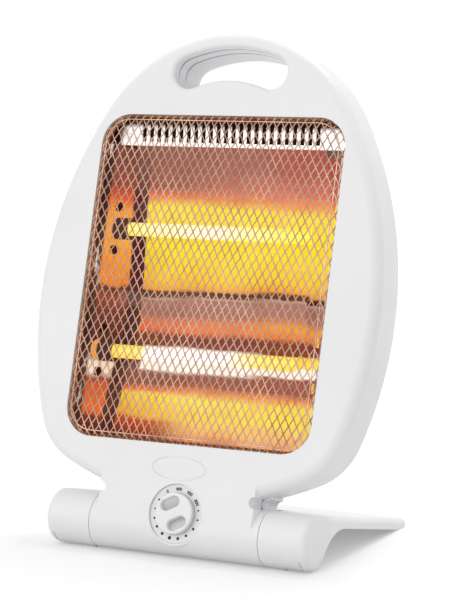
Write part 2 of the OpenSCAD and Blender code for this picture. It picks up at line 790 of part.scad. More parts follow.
// The rear shell is drawn with Z pointing backward and mirrored into place
module rear_shell() color(white) on_head() mirror([0, 0, 1])
    difference() {
        union() {
            difference() {
                union() {
                    egg_shell(rear_depth, rear_round_r);
                    linear_extrude(rear_neck_n) neck_outline(rear_neck_w, 0, rear_neck_top);
                    drum(true);
                }
                translate([0, 0, -1]) linear_extrude(rear_neck_n - head_wall + 1)
                    neck_outline(rear_neck_w, head_wall, rear_neck_top);
                mirror([0, 0, 1]) drum_hollow();
            }
            slot_tunnel(rear_depth);
            rear_posts();
        }
        slot_cut(rear_depth, slot_rear_r);
        rear_post_holes();
        for (low = vent_lows, x = [-vent_half : vent_pitch : vent_half])
            translate([x - vent_w / 2, low, rear_depth - head_wall - 1]) cube([vent_w, vent_h, head_wall + 2]);
        translate([inlet_x, terminal_v, 0]) cylinder(r = inlet_bore_r + inlet_wall + 0.1, h = far);
    }

module shell_screws() color(steel) on_head()
    for (p = mirrored(shell_screw_points))
        translate([p[0], p[1], -screw_seat]) screw(screw_seat + shell_screw_in);

// ---------------------------------------------------------------- guard

guard_w = opening_w - 2 * guard_gap;
guard_h = opening_h - 2 * guard_gap;
guard_r = opening_r - guard_gap;
guard_top = face_n + guard_proud;

// Rolled edge, side wall and hidden flange of the guard
module guard_section() {
    translate([-guard_roll_r, guard_top - guard_roll_r]) intersection() {
        difference() {
            circle(guard_roll_r);
            circle(guard_roll_r - guard_t);
        }
        square(guard_roll_r);
    }
    translate([-guard_t, guard_back]) square([guard_t, guard_top - guard_roll_r - guard_back]);
    translate([-guard_t, guard_back]) square([guard_t + guard_flange, guard_t]);
}

module diamond(w, h) polygon([[w / 2, 0], [0, h / 2], [-w / 2, 0], [0, -h / 2]]);

net_w = guard_w - 2 * guard_roll_r;
net_h = guard_h - 2 * guard_roll_r;
mesh_w = (net_w - 2 * strand_w) / mesh_cols;
mesh_h = (net_h - 2 * strand_w) / mesh_rows;

// The two interleaved families of diamond gaps, counted in half diamonds from the middle
gap_points = [
    for (i = [-mesh_cols : mesh_cols], j = [-mesh_rows : mesh_rows])
        if ((i - j) % 2 == 0) [i * mesh_w / 2, j * mesh_h / 2]
];
gap_w = mesh_w - strand_w * norm([mesh_w, mesh_h]) / mesh_h;
gap_h = mesh_h - strand_w * norm([mesh_w, mesh_h]) / mesh_w;

module guard() color([0.8, 0.66, 0.6]) on_head() translate([0, opening_mid, 0]) {
    round_frame(guard_w, guard_h, guard_r) guard_section();
    translate([0, 0, guard_top - guard_t]) linear_extrude(guard_t) difference() {
        rounded_rect(net_w + eps, net_h + eps, guard_r - guard_roll_r + eps / 2);
        for (p = gap_points) intersection() {
            translate(p) diamond(gap_w, gap_h);
            rounded_rect(net_w - 2 * strand_w, net_h - 2 * strand_w, guard_r - guard_roll_r - strand_w);
        }
    }
}

// ---------------------------------------------------------------- reflector

// Sheet bent to an arc between two heights, open towards +Z
module trough(low, high) {
    half = (high - low) / 2;
    r = (half * half + trough_depth * trough_depth) / (2 * trough_depth);
    intersection() {
        translate([low + half, trough_n - trough_depth + r]) difference() {
            circle(r + sheet_t);
            circle(r);
        }
        translate([low - 2, trough_n - trough_depth - 2]) square([high - low + 4, trough_depth + 2]);
    }
}

module reflector() color(bright) on_head() run_x(-trough_half, trough_half) {
    trough(lower_trough_v, ridge_v);
    trough(ridge_v + ridge_h, upper_trough_v);
    translate([ridge_v, trough_n - sheet_t]) square([ridge_h, sheet_t]);
}

louvre_low = upper_trough_v + 1.4;
louvre_h = opening_v + opening_h - louvre_low + 4;
louvre_slope = atan2(guard_back - 0.1 - trough_n, louvre_h);
louvre_half = opening_w / 2 - 1.5;

module top_louvre() color(bright) on_head()
    translate([0, louvre_low, trough_n - sheet_t]) rotate([louvre_slope, 0, 0]) difference() {
        translate([-louvre_half, 0, 0]) cube([2 * louvre_half, louvre_h, sheet_t]);
        for (i = [0 : louvre_slots - 1])
            translate([(i - (louvre_slots - 1) / 2) * louvre_pitch - louvre_slot_w / 2, 3, -1])
                cube([louvre_slot_w, louvre_slot_h, sheet_t + 2]);
    }

module bottom_flange() color(bright) on_head() run_x(-louvre_half, louvre_half)
    translate([opening_v - 5, trough_n - sheet_t]) {
        square([lower_trough_v - opening_v + 3.7, sheet_t]);
        square([sheet_t, guard_back - trough_n + sheet_t]);
    }

// Bent end plate of the reflector, at x > 0
module cheek() rotate([90, 0, 0]) linear_extrude(cheek_high - cheek_low) polygon([
        [cheek_front_x + flange_out, cheek_n],
        [cheek_front_x + flange_out, cheek_n + sheet_t],
        [cheek_front_x, cheek_n + sheet_t],
        [cheek_rear_x, cheek_back],
        [cheek_rear_x - 8, cheek_back],
        [cheek_rear_x - 8, cheek_back - sheet_t],
        [cheek_rear_x + 0.6, cheek_back - sheet_t],
        [cheek_front_x + 0.6, cheek_n]
    ]);

module cheek_side(side) color(bright) on_head() mirror([side > 0 ? 0 : 1, 0, 0])
    difference() {
        translate([0, cheek_high, 0]) cheek();
        for (v = [upper_tube_v, lower_tube_v]) {
            translate([0, v, 0]) along_x(ceramic_r + 0.3, cheek_rear_x - 10, far);
            for (s = [-1, 1])
                translate([cheek_mid_x, v + s * bracket_screw, 0]) rotate([0, cheek_turn, 0])
                    along_x(screw_r + 0.2, -5, 5);
        }
        for (v = flange_screw_v) translate([boss_x, v, 0]) cylinder(r = screw_r + 0.3, h = far);
    }
module cheek_left() cheek_side(-1);
module cheek_right() cheek_side(1);

module reflector_screws() color(steel) on_head()
    for (side = [-1, 1], v = flange_screw_v)
        translate([side * boss_x, v, cheek_n]) screw(6.5);

module heat_shield() color(steel) on_head() {
    translate([-cheek_rear_x, cheek_low, shield_front - shield_t])
        cube([2 * cheek_rear_x, cheek_high - cheek_low, shield_t]);
    translate([cutout_x - cutout_r - 3, cheek_high - 1, shield_front - shield_t])
        cube([2 * cutout_r + 6, 2 * cutout_r + 8, shield_t]);
}

module thermal_cutout() color([0.25, 0.22, 0.2]) on_head()
    translate([cutout_x, cheek_high + cutout_r + 3, shield_front]) {
        cylinder(r = cutout_r, h = cutout_h - 3);
        cylinder(r = cutout_r - 1.5, h = cutout_h);
    }

// ---------------------------------------------------------------- heating tubes

tube_half = ceramic_in_x + tube_seat - 0.2;

module quartz_tube(v) color([0.95, 0.85, 0.5]) on_head() translate([0, v, 0]) difference() {
    along_x(tube_r, -tube_half, tube_half);
    along_x(tube_r - tube_wall, -tube_half - 1, tube_half + 1);
}
module tube_upper() quartz_tube(upper_tube_v);
module tube_lower() quartz_tube(lower_tube_v);

// The coil rests on the bottom of its tube
module heating_coil(v) color([1, 0.75, 0.2]) on_head()
    translate([0, v - tube_r + tube_wall + coil_r + 0.1, 0]) along_x(coil_r, -tube_half, tube_half);
module coil_upper() heating_coil(upper_tube_v);
module coil_lower() heating_coil(lower_tube_v);

module ceramic_cap(side, v) color(ceramic) on_head() translate([0, v, 0]) mirror([side > 0 ? 0 : 1, 0, 0])
    difference() {
        along_x(ceramic_r, ceramic_in_x, ceramic_in_x + ceramic_l);
        along_x(tube_r + 0.1, ceramic_in_x - 1, ceramic_in_x + tube_seat);
        along_x(1.5, ceramic_in_x, ceramic_in_x + ceramic_l + 1);
        // Flat that keeps the cap from turning in its bracket
        translate([ceramic_in_x + 4, -ceramic_r, ceramic_r - 1]) cube([ceramic_l, 2 * ceramic_r, 2]);
    }
module ceramic_upper_left() ceramic_cap(-1, upper_tube_v);
module ceramic_upper_right() ceramic_cap(1, upper_tube_v);
module ceramic_lower_left() ceramic_cap(-1, lower_tube_v);
module ceramic_lower_right() ceramic_cap(1, lower_tube_v);

// Bracket plate on the inner face of an end plate
module bracket(side, v) color(bright) on_head() translate([0, v, 0]) mirror([side > 0 ? 0 : 1, 0, 0])
    difference() {
        translate([cheek_mid_x, 0, 0]) rotate([0, cheek_turn, 0])
            translate([-sheet_t - 0.05, -bracket_l / 2, -bracket_w / 2]) cube([sheet_t, bracket_l, bracket_w]);
        along_x(ceramic_r + 0.2, 0, far);
        for (s = [-1, 1])
            translate([cheek_mid_x, s * bracket_screw, 0]) rotate([0, cheek_turn, 0])
                along_x(screw_r + 0.2, -5, 5);
    }
module bracket_upper_left() bracket(-1, upper_tube_v);
module bracket_upper_right() bracket(1, upper_tube_v);
module bracket_lower_left() bracket(-1, lower_tube_v);
module bracket_lower_right() bracket(1, lower_tube_v);

module bracket_screws() color(steel) on_head()
    for (side = [0, 1], v = [upper_tube_v, lower_tube_v], s = [-1, 1]) mirror([side, 0, 0])
        translate([cheek_mid_x, v + s * bracket_screw, 0]) rotate([0, 90 + cheek_turn, 0])
            translate([0, 0, -sheet_t - 0.1]) screw(5);

// ---------------------------------------------------------------- control

module dial_plate() color(white) on_head() translate([dial_x, dial_v, pocket_n]) difference() {
    cylinder(r = dial_r - 0.2, h = dial_t);
    translate([0, 0, -1]) cylinder(r = switch_nut_r + 0.4, h = far);
}

module switch_body() color([0.3, 0.28, 0.26]) on_head() translate([dial_x, dial_v, 0]) difference() {
    union() {
        translate([-switch_w / 2, -switch_w / 2, switch_n - switch_d]) cube([switch_w, switch_w, switch_d]);
        cylinder(r = switch_neck_r, h = pocket_n + switch_nut_t);
    }
    translate([0, 0, shaft_back]) cylinder(r = shaft_r + shaft_play, h = far);
}

module switch_nut() color(steel) on_head() translate([dial_x, dial_v, pocket_n]) difference() {
    cylinder(r = switch_nut_r, h = switch_nut_t, $fn = 6);
    translate([0, 0, -1]) cylinder(r = switch_neck_r + eps, h = far);
}

module switch_shaft() color(steel) on_head()
    translate([dial_x, dial_v, shaft_back + 0.3]) cylinder(r = shaft_r, h = knob_front - 1.4 - shaft_back - 0.3);

module scoop()
    translate([0, 0, knob_front - scoop_t]) linear_extrude(far) {
        square([scoop_w, scoop_l - scoop_w], center = true);
        for (s = [-1, 1]) translate([0, s * (scoop_l - scoop_w) / 2]) circle(scoop_w / 2);
    }

module knob() color(white) on_head() translate([dial_x, dial_v, 0]) rotate([0, 0, -knob_turn])
    difference() {
        union() {
            translate([0, 0, dial_n + knob_gap]) cylinder(r = knob_r, h = knob_h - knob_edge);
            translate([0, 0, knob_front - knob_edge]) cylinder(r1 = knob_r, r2 = knob_r - knob_edge, h = knob_edge);
        }
        for (s = [-1, 1]) translate([s * (grip_w + scoop_w) / 2, 0, 0]) scoop();
        translate([0, 0, dial_n]) cylinder(r = shaft_r + eps, h = knob_front - 1.4 - dial_n);
    }

// ---------------------------------------------------------------- electrical parts

module terminal_block() color([0.9, 0.9, 0.86]) on_head()
    translate([terminal_x - terminal_l / 2, terminal_v - terminal_h / 2, terminal_n]) difference() {
        cube([terminal_l, terminal_h, terminal_d]);
        for (i = [0 : 2], s = [0.3, 0.7])
            translate([terminal_l * (i + 0.5) / 3, terminal_h * s, terminal_d - 6]) cylinder(r = 1.8, h = 7);
    }

module cable_inlet() color(rubber) on_head() translate([inlet_x, terminal_v, 0]) mirror([0, 0, 1])
    difference() {
        union() {
            translate([0, 0, rear_depth - flat_wall - 2]) cylinder(r = inlet_bore_r + inlet_wall, h = flat_wall + 4);
            translate([0, 0, rear_depth]) cylinder(r = inlet_bore_r + inlet_wall + 2, h = 2);
            translate([0, 0, rear_depth - flat_wall - 2]) cylinder(r = inlet_bore_r + inlet_wall + 1, h = 2);
        }
        cylinder(r = inlet_bore_r, h = far);
    }

stand_shell();
sleeve_cover_left();
sleeve_cover_right();
front_feet();
rear_feet();
cover_screws();
hinge_bolt_left();
hinge_bolt_right();
friction_washers();
hinge_nuts();
hinge_bushes();
tip_switch_body();
tip_plunger();
front_shell();
rear_shell();
shell_screws();
guard();
top_louvre();
bottom_flange();
reflector();
cheek_left();
cheek_right();
reflector_screws();
heat_shield();
tube_upper();
tube_lower();
coil_upper();
coil_lower();
ceramic_upper_left();
ceramic_upper_right();
ceramic_lower_left();
ceramic_lower_right();
bracket_upper_left();
bracket_upper_right();
bracket_lower_left();
bracket_lower_right();
bracket_screws();
dial_plate();
switch_body();
switch_nut();
switch_shaft();
knob();
thermal_cutout();
terminal_block();
cable_inlet();
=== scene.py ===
"""Halogen heater: finishes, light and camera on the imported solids. Lengths are in metres."""
import json
import math

import bmesh
import bpy
import numpy as np
from mathutils import Matrix, Vector


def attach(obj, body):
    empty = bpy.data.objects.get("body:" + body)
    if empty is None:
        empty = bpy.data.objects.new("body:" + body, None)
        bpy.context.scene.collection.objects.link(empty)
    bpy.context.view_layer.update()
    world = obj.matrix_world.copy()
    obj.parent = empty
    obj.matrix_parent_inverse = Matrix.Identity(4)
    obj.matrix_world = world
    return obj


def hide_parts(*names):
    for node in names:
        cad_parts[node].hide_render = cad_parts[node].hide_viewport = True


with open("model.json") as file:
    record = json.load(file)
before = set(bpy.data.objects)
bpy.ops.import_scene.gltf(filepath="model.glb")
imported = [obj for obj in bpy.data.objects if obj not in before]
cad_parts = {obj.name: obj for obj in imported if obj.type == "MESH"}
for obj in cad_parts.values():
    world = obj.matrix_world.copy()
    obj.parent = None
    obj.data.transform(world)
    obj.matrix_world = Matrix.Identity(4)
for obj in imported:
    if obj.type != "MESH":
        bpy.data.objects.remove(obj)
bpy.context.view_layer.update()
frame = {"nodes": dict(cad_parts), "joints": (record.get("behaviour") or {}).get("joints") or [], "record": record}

MM = 0.001
scene = bpy.context.scene
scene.view_settings.view_transform = "Standard"
record = frame["record"]
joints = {joint["name"]: joint for joint in frame["joints"]}
node_body = {
    node: body for body, nodes in record["behaviour"]["bodies"].items() for node in nodes
}
slot_of = {part["node"]: part["material_slot"] for part in record["subparts"]}

# The leaning head's own axes: across it, up along it and straight out of its face
ACROSS = Vector((1, 0, 0))
OUT = Vector(joints["knob_turn"]["axis"]).normalized()
UP = OUT.cross(ACROSS)
HINGE = Vector(joints["head_tilt"]["pos_m"])

# Sizes of the face, measured in the head's axes from the hinge
FACE_OUT = 19.3 * MM
GUARD_MIDDLE = 176 * MM
NET_HALF = (93 * MM, 114 * MM)
NET_CORNER = 17.5 * MM
NET_FRONT = 20.2 * MM
ROLL = 4 * MM
HEM_FRONT, HEM_BACK = 11.2 * MM, 8.8 * MM
NET_EDGE = ROLL * math.pi / 2 + NET_FRONT - ROLL - HEM_FRONT
LOUVRE_FOOT = (274.4 * MM, 4.2 * MM)
LOUVRE_SLOPE = math.atan2(3.4, 27.6)
TUBE_HEIGHTS = {"upper": 212.5 * MM, "lower": 122 * MM}
COIL_LENGTH = 148 * MM
BADGE_MIDDLE, BADGE_HALF = (0.8 * MM, 41 * MM), (21.1 * MM, 8.1 * MM)

# The dial and its knob. Marks are in degrees, clockwise from the top.
DIAL_MIDDLE = (1.5 * MM, 9.2 * MM)
DIAL_FACE = 17.5 * MM
DIAL_RING = 17.3 * MM
DOTS = {
    77: 0.7, 99: 0.75, 122: 0.97, 146: 1.0, 168: 1.12, 190: 1.32, 212: 1.14, 234: 1.0,
    255: 0.88, 277: 0.72, 300: 0.74,
}
NUMBERS = (("0", -31), ("400", -1), ("400", 29.5), ("800", 58))
KNOB_FRONT = 23 * MM
GRIP_TILT = math.radians(27)

# The arc that the carry slot's upper wall follows, and the depths of its two dark lines: the shells' seam, and
# painted shade under a step nearer the front
SLOT_MIDDLE, SLOT_RADIUS = 245.6 * MM, 104 * MM
SLOT_LINES = (0.0, 10.8 * MM)

# Sizes of the stand, measured from the hinge: Y backward and Z up
STAND_HALF = 103.5 * MM
STAND_SLOPE = 12.0888
ARCH_MIDDLE = (38.9606 * MM, -34.0137 * MM)
ARCH_RADIUS = 36 * MM

# The camera that was fitted to the photograph: degrees round to the right and up, and metres
CAMERA_ROUND, CAMERA_RISE = 27.11, 6.98
CAMERA_AWAY = 1.4823
CAMERA_AIM = Vector((0, -0.07238, 0.14253))
CAMERA_SHIFT = (0.03706, 0.04036)
CAMERA_LENS, CAMERA_SENSOR = 127.67, 36

# Light that the floor adds where it is seen: near the heater, and where it meets the backdrop
FLOOR_NEAR, FLOOR_FAR = (0.3, 0.29), (1.6, 1.0)
WHITE = (1, 1, 1, 1)

CREASE = 30


def head_matrix(across=0, up=0, out=0):
    """Turns a mesh built flat, with its front along Z, into the head's axes at a place."""
    turn = Matrix((ACROSS, UP, OUT)).transposed().to_4x4()
    return Matrix.Translation(HINGE + ACROSS * across + UP * up + OUT * out) @ turn


# ---------------------------------------------------------------- node trees

class Tree:
    """A tree of nodes. Inputs are given by name or number, as plain values or as sockets."""

    def __init__(self, tree):
        self.tree = tree

    def node(self, kind, inputs=(), **settings):
        made = self.tree.nodes.new(kind)
        for label, value in settings.items():
            setattr(made, label, value)
        for key, value in dict(inputs).items():
            socket = made.inputs[key]
            if isinstance(value, bpy.types.NodeSocket):
                self.tree.links.new(value, socket)
            else:
                socket.default_value = value
        return made

    def math(self, operation, first, second=0.0):
        return self.node("ShaderNodeMath", {0: first, 1: second}, operation=operation).outputs[0]

    def distance(self, first, second):
        squares = [self.math("POWER", side, 2.0) for side in (first, second)]
        return self.math("SQRT", self.math("ADD", *squares))


class Finish(Tree):
    """One material: its shader and the small steps that its patterns are joined from."""

    def __init__(self, name, **sockets):
        self.material = bpy.data.materials.new(name)
        self.material.use_nodes = True
        super().__init__(self.material.node_tree)
        self.shader = self.tree.nodes["Principled BSDF"]
        self.place = self.node("ShaderNodeTexCoord").outputs["Object"]
        for label, value in sockets.items():
            self.shader.inputs[label.replace("_", " ")].default_value = value

    def set(self, label, source):
        self.tree.links.new(source, self.shader.inputs[label])

    def noise(self, scale, detail=3.0, roughness=0.55, stretch=None, source=None, distortion=0.0):
        start = source or self.place
        if stretch:
            start = self.node("ShaderNodeMapping", {"Vector": start, "Scale": stretch}).outputs[0]
        return self.node("ShaderNodeTexNoise", {
            "Vector": start, "Scale": scale, "Detail": detail, "Roughness": roughness,
            "Distortion": distortion,
        }).outputs["Fac"]

    def span(self, source, low, high, to_low=0.0, to_high=1.0):
        return self.node("ShaderNodeMapRange", {
            "Value": source, "From Min": low, "From Max": high, "To Min": to_low, "To Max": to_high,
        }, clamp=True).outputs["Result"]

    def ramp(self, source, stops):
        made = self.node("ShaderNodeValToRGB", {"Fac": source})
        elements = made.color_ramp.elements
        elements[0].position, elements[0].color = stops[0]
        elements[1].position, elements[1].color = stops[-1]
        for position, shade in stops[1:-1]:
            elements.new(position).color = shade
        return made.outputs["Color"]

    def mix(self, factor, first, second, blend="MIX"):
        made = self.node("ShaderNodeMix", data_type="RGBA", blend_type=blend)
        sockets = [socket for socket in made.inputs if socket.enabled]
        for socket, value in zip(sockets, (factor, first, second)):
            if isinstance(value, bpy.types.NodeSocket):
                self.tree.links.new(value, socket)
            else:
                socket.default_value = value
        return [socket for socket in made.outputs if socket.enabled][0]

    def bump(self, height, depth, strength=1.0):
        made = self.node("ShaderNodeBump", {
            "Height": height, "Distance": depth, "Strength": strength,
        })
        before = self.shader.inputs["Normal"].links
        if before:
            self.tree.links.new(before[0].from_socket, made.inputs["Normal"])
        self.set("Normal", made.outputs["Normal"])

    def head_axes(self):
        """Object places turned into the head's own axes, and split: across, up and out."""
        turned = self.node("ShaderNodeMapping", {
            "Vector": self.place,
            "Rotation": Matrix((ACROSS, UP, OUT)).to_euler("XYZ"),
            "Location": (-ACROSS.dot(HINGE), -UP.dot(HINGE), -OUT.dot(HINGE)),
        }).outputs[0]
        apart = self.node("ShaderNodeSeparateXYZ", {0: turned}).outputs
        return turned, apart["X"], apart["Y"], apart["Z"]


class Pattern(Tree):
    """A tree of geometry nodes with named sizes, turned into a plain mesh."""

    def __init__(self, name):
        super().__init__(bpy.data.node_groups.new(name, "GeometryNodeTree"))
        self.values = {}
        self.start = self.tree.nodes.new("NodeGroupInput")
        self.tree.interface.new_socket(
            "Geometry", in_out="OUTPUT", socket_type="NodeSocketGeometry"
        )

    def size(self, label, value, kind="NodeSocketFloat"):
        socket = self.tree.interface.new_socket(label, in_out="INPUT", socket_type=kind)
        self.values[socket.identifier] = value
        return self.start.outputs[label]

    def shape(self, kind, inputs=(), **settings):
        return self.node("GeometryNode" + kind, inputs, **settings).outputs[0]

    def vector(self, x=0.0, y=0.0, z=0.0):
        return self.node("ShaderNodeCombineXYZ", {"X": x, "Y": y, "Z": z}).outputs[0]

    def join(self, *parts):
        made = self.tree.nodes.new("GeometryNodeJoinGeometry")
        for part in parts:
            self.tree.links.new(part, made.inputs[0])
        return made.outputs[0]

    def mesh(self, instances, material, start=None):
        """Ends the tree in Realize Instances and Set Material and returns the plain mesh."""
        metal = self.size("Material", material, "NodeSocketMaterial")
        real = self.shape("RealizeInstances", {0: instances})
        painted = self.shape("SetMaterial", {"Geometry": real, "Material": metal})
        self.node("NodeGroupOutput", {0: painted})
        holder = bpy.data.objects.new("holder", start or bpy.data.meshes.new("holder"))
        modifier = holder.modifiers.new("pattern", "NODES")
        modifier.node_group = self.tree
        for identifier, value in self.values.items():
            modifier[identifier] = value
        return plain_mesh(holder)


def plain_mesh(holder):
    """The plain mesh of an object as its modifiers or its letters make it. The object goes."""
    scene.collection.objects.link(holder)
    graph = bpy.context.evaluated_depsgraph_get()
    made = bpy.data.meshes.new_from_object(holder.evaluated_get(graph))
    bpy.data.objects.remove(holder)
    return made


# ---------------------------------------------------------------- camera, light and floor

def make_camera():
    """The photograph's view: 27 degrees round to the right and 7 degrees up."""
    azimuth, elevation = math.radians(CAMERA_ROUND), math.radians(CAMERA_RISE)
    right = Vector((math.cos(azimuth), math.sin(azimuth), 0))
    back = Vector((
        math.sin(azimuth) * math.cos(elevation),
        -math.cos(azimuth) * math.cos(elevation),
        math.sin(elevation),
    ))
    up = back.cross(right)
    target = CAMERA_AIM + right * CAMERA_SHIFT[0] + up * CAMERA_SHIFT[1]
    data = bpy.data.cameras.new("camera")
    data.sensor_width = CAMERA_SENSOR
    data.lens = CAMERA_LENS
    camera = bpy.data.objects.new("camera", data)
    scene.collection.objects.link(camera)
    camera.matrix_world = Matrix.Translation(target + back * CAMERA_AWAY) @ Matrix(
        (right, up, back)
    ).transposed().to_4x4()
    scene.camera = camera


def seen_directly(tree):
    """1 for rays from the camera, off gloss and through glass, and 0 for the light itself."""
    path = tree.node("ShaderNodeLightPath").outputs
    straight = tree.math("MAXIMUM", path["Is Camera Ray"], path["Is Glossy Ray"])
    return tree.math("MAXIMUM", straight, path["Is Transmission Ray"])


def make_world(level):
    """An even soft light of one level, with a white backdrop where it is seen."""
    world = bpy.data.worlds.new("studio")
    scene.world = world
    world.use_nodes = True
    world.node_tree.nodes.clear()
    tree = Tree(world.node_tree)
    light, backdrop = [
        tree.node("ShaderNodeBackground", {"Color": shade, "Strength": strength}).outputs[0]
        for shade, strength in (((1.0, 0.998, 1.0, 1), level), (WHITE, 1.0))
    ]
    mix = tree.node("ShaderNodeMixShader", {0: seen_directly(tree), 1: light, 2: backdrop})
    tree.node("ShaderNodeOutputWorld", {"Surface": mix.outputs[0]})


def make_lamp(name, place, aim, size, power):
    """A large square soft lamp that faces a point of the heater."""
    data = bpy.data.lights.new(name, "AREA")
    data.shape = "SQUARE"
    data.size = size
    data.energy = power
    lamp = bpy.data.objects.new(name, data)
    scene.collection.objects.link(lamp)
    lamp.location = place
    lamp.rotation_euler = (Vector(aim) - Vector(place)).to_track_quat("-Z", "Y").to_euler()


def make_floor():
    """A wide pale floor that keeps the heater's shadow and runs out into the backdrop."""
    half = 6
    data = bpy.data.meshes.new("floor")
    data.from_pydata(
        [(-half, -half, 0), (half, -half, 0), (half, half, 0), (-half, half, 0)], [], [(0, 1, 2, 3)]
    )
    floor = bpy.data.objects.new("floor", data)
    scene.collection.objects.link(floor)
    material = bpy.data.materials.new("pale_floor")
    material.use_nodes = True
    material.node_tree.nodes.clear()
    tree = Tree(material.node_tree)
    matt = tree.node("ShaderNodeBsdfDiffuse", {"Color": (0.74, 0.74, 0.743, 1)})
    place = tree.node("ShaderNodeTexCoord").outputs["Object"]
    far = tree.node("ShaderNodeVectorMath", {0: place}, operation="LENGTH").outputs["Value"]
    fade = tree.node("ShaderNodeMapRange", {
        "Value": far, "From Min": FLOOR_NEAR[0], "From Max": FLOOR_FAR[0],
        "To Min": FLOOR_NEAR[1], "To Max": FLOOR_FAR[1],
    }).outputs[0]
    strength = tree.math("MULTIPLY", seen_directly(tree), fade)
    lift = tree.node("ShaderNodeEmission", {"Color": WHITE, "Strength": strength})
    both = tree.node("ShaderNodeAddShader", {0: matt.outputs[0], 1: lift.outputs[0]})
    tree.node("ShaderNodeOutputMaterial", {"Surface": both.outputs[0]})
    data.materials.append(material)


# ---------------------------------------------------------------- finishes

def colour(red, green, blue):
    """A colour as a picture shows it, 0 to 255, turned into light values."""
    values = []
    for part in (red, green, blue):
        part = part / 255
        values.append(part / 12.92 if part <= 0.04045 else ((part + 0.055) / 1.055) ** 2.4)
    return (*values, 1)


def slot_seam_and_step_shade(finish):
    """Two dark lines round the upper wall of the carry slot: the dark seam between the shells, and painted shade
    under a step nearer the front.
    """
    head, across, up, out = finish.head_axes()
    radius = finish.distance(across, finish.math("SUBTRACT", up, SLOT_MIDDLE))
    near = finish.math(
        "MULTIPLY", finish.span(radius, SLOT_RADIUS + 1 * MM, SLOT_RADIUS),
        finish.span(up, 322 * MM, 326 * MM))
    near = finish.math(
        "MULTIPLY", near, finish.span(finish.math("ABSOLUTE", across), 49 * MM, 43 * MM))
    lines = []
    for depth in SLOT_LINES:
        away = finish.math("ABSOLUTE", finish.math("SUBTRACT", out, depth))
        lines.append(finish.span(away, 1.6 * MM, 0.4 * MM))
    return finish.math("MULTIPLY", finish.math("MAXIMUM", *lines), near), (150, 153, 162)


def scoop_shade(finish):
    """Painted shade in the knob's scoops, a little darker the deeper they lie."""
    head, across, up, out = finish.head_axes()
    deep = finish.span(out, KNOB_FRONT - 0.5 * MM, KNOB_FRONT - 4 * MM, 0.0, 0.45)
    return deep, (118, 119, 126)


def white_plastic(name="white_plastic", shade=(241, 241, 242), marks=slot_seam_and_step_shade):
    """Satin moulded plastic: a fine spark grain, soft flow clouds and faint rub marks."""
    gloss = 0.4
    finish = Finish(name, Roughness=gloss, IOR=1.5, Specular_IOR_Level=0.5)
    clouds = finish.noise(9, detail=3)
    deep = colour(*(part - 4 for part in shade))
    tint = finish.mix(finish.span(clouds, 0.35, 0.65), deep, colour(*shade))
    # marks gives where the plastic is darker and in what colour: painted shade under the carry slot's step beside
    # its seam line, or painted shade in the knob's scoops
    where, dark = marks(finish)
    finish.set("Base Color", finish.mix(where, tint, colour(*dark)))
    rubbed = finish.noise(40, detail=2, stretch=(1, 1, 0.35))
    finish.set("Roughness", finish.span(rubbed, 0.3, 0.75, gloss - 0.05, gloss + 0.08))
    finish.bump(finish.noise(420, detail=1), 0.00001, 0.1)
    return finish.material


def copper_wire():
    """Coppery plated steel net with random brown heat stain, and painted shade, a darker brown, where it rolls
    over the rim and down to its hem.
    """
    finish = Finish("copper_wire", Metallic=1.0, Roughness=0.36)
    head, across, up, out = finish.head_axes()
    stain = finish.noise(38, detail=4, roughness=0.6)
    shade = finish.ramp(stain, [
        (0.25, colour(158, 114, 96)), (0.5, colour(200, 162, 142)), (0.78, colour(228, 196, 174)),
    ])
    # Painted shade: darker brown on the rolled rim and hem, below the net's front
    darker_brown = finish.span(out, 8 * MM, 19 * MM, 0.55, 0.0)
    finish.set("Base Color", finish.mix(darker_brown, shade, colour(120, 66, 50)))
    finish.set("Roughness", finish.span(stain, 0.3, 0.7, 0.44, 0.3))
    finish.bump(finish.noise(2200, detail=3), 0.00003, 0.5)
    return finish.material


def quartz(name, heat):
    """A quartz tube lit by its coil and drawn opaque, with its colours from left to right."""
    finish = Finish(
        name, Roughness=0.12, IOR=1.46, Coat_Weight=0.6, Coat_Roughness=0.05, Emission_Strength=1.0
    )
    head, across, up, out = finish.head_axes()
    along = finish.span(across, -76 * MM, 76 * MM)
    ripple = finish.noise(120, detail=3, stretch=(3.2, 1, 1))
    shifted = finish.math("ADD", along, finish.span(ripple, 0.2, 0.8, -0.03, 0.03))
    lit = finish.ramp(shifted, [(place, colour(*shade)) for place, shade in heat])
    finish.set("Emission Color", lit)
    finish.set("Base Color", finish.mix(0.8, lit, colour(60, 40, 25)))
    finish.bump(finish.noise(500, detail=2, stretch=(0.1, 1, 1)), 0.00003, 0.4)
    return finish.material


def glowing_wire():
    """Wound heating wire at white-orange heat, a little duller where turns touch."""
    finish = Finish("glowing_wire", Metallic=0.6, Roughness=0.5, Emission_Strength=1.3)
    turns = finish.noise(420, detail=3)
    lit = finish.ramp(turns, [(0.3, colour(255, 150, 40)), (0.6, colour(255, 226, 120))])
    finish.set("Emission Color", lit)
    finish.set("Base Color", finish.mix(0.5, lit, colour(120, 80, 60)))
    return finish.material


def ceramic():
    """Unglazed brown ceramic end cap with a grainy surface, and painted glow light where it passes its bracket."""
    finish = Finish("ceramic", Roughness=0.8, IOR=1.5, Emission_Strength=1.0)
    grain = finish.noise(700, detail=5, roughness=0.7)
    soot = finish.noise(70, detail=4)
    shade = finish.ramp(soot, [(0.3, colour(50, 26, 26)), (0.7, colour(96, 58, 54))])
    pale = finish.span(grain, 0.35, 0.7, 0.0, 0.35)
    finish.set("Base Color", finish.mix(pale, shade, colour(120, 84, 74)))
    head, across, up, out = finish.head_axes()
    # Painted light: the outer ends give off the tubes' orange glow
    outer = finish.span(finish.math("ABSOLUTE", across), 86 * MM, 87 * MM)
    finish.set("Emission Color", finish.mix(outer, colour(0, 0, 0), colour(240, 150, 48)))
    finish.bump(grain, 0.00012, 0.7)
    return finish.material
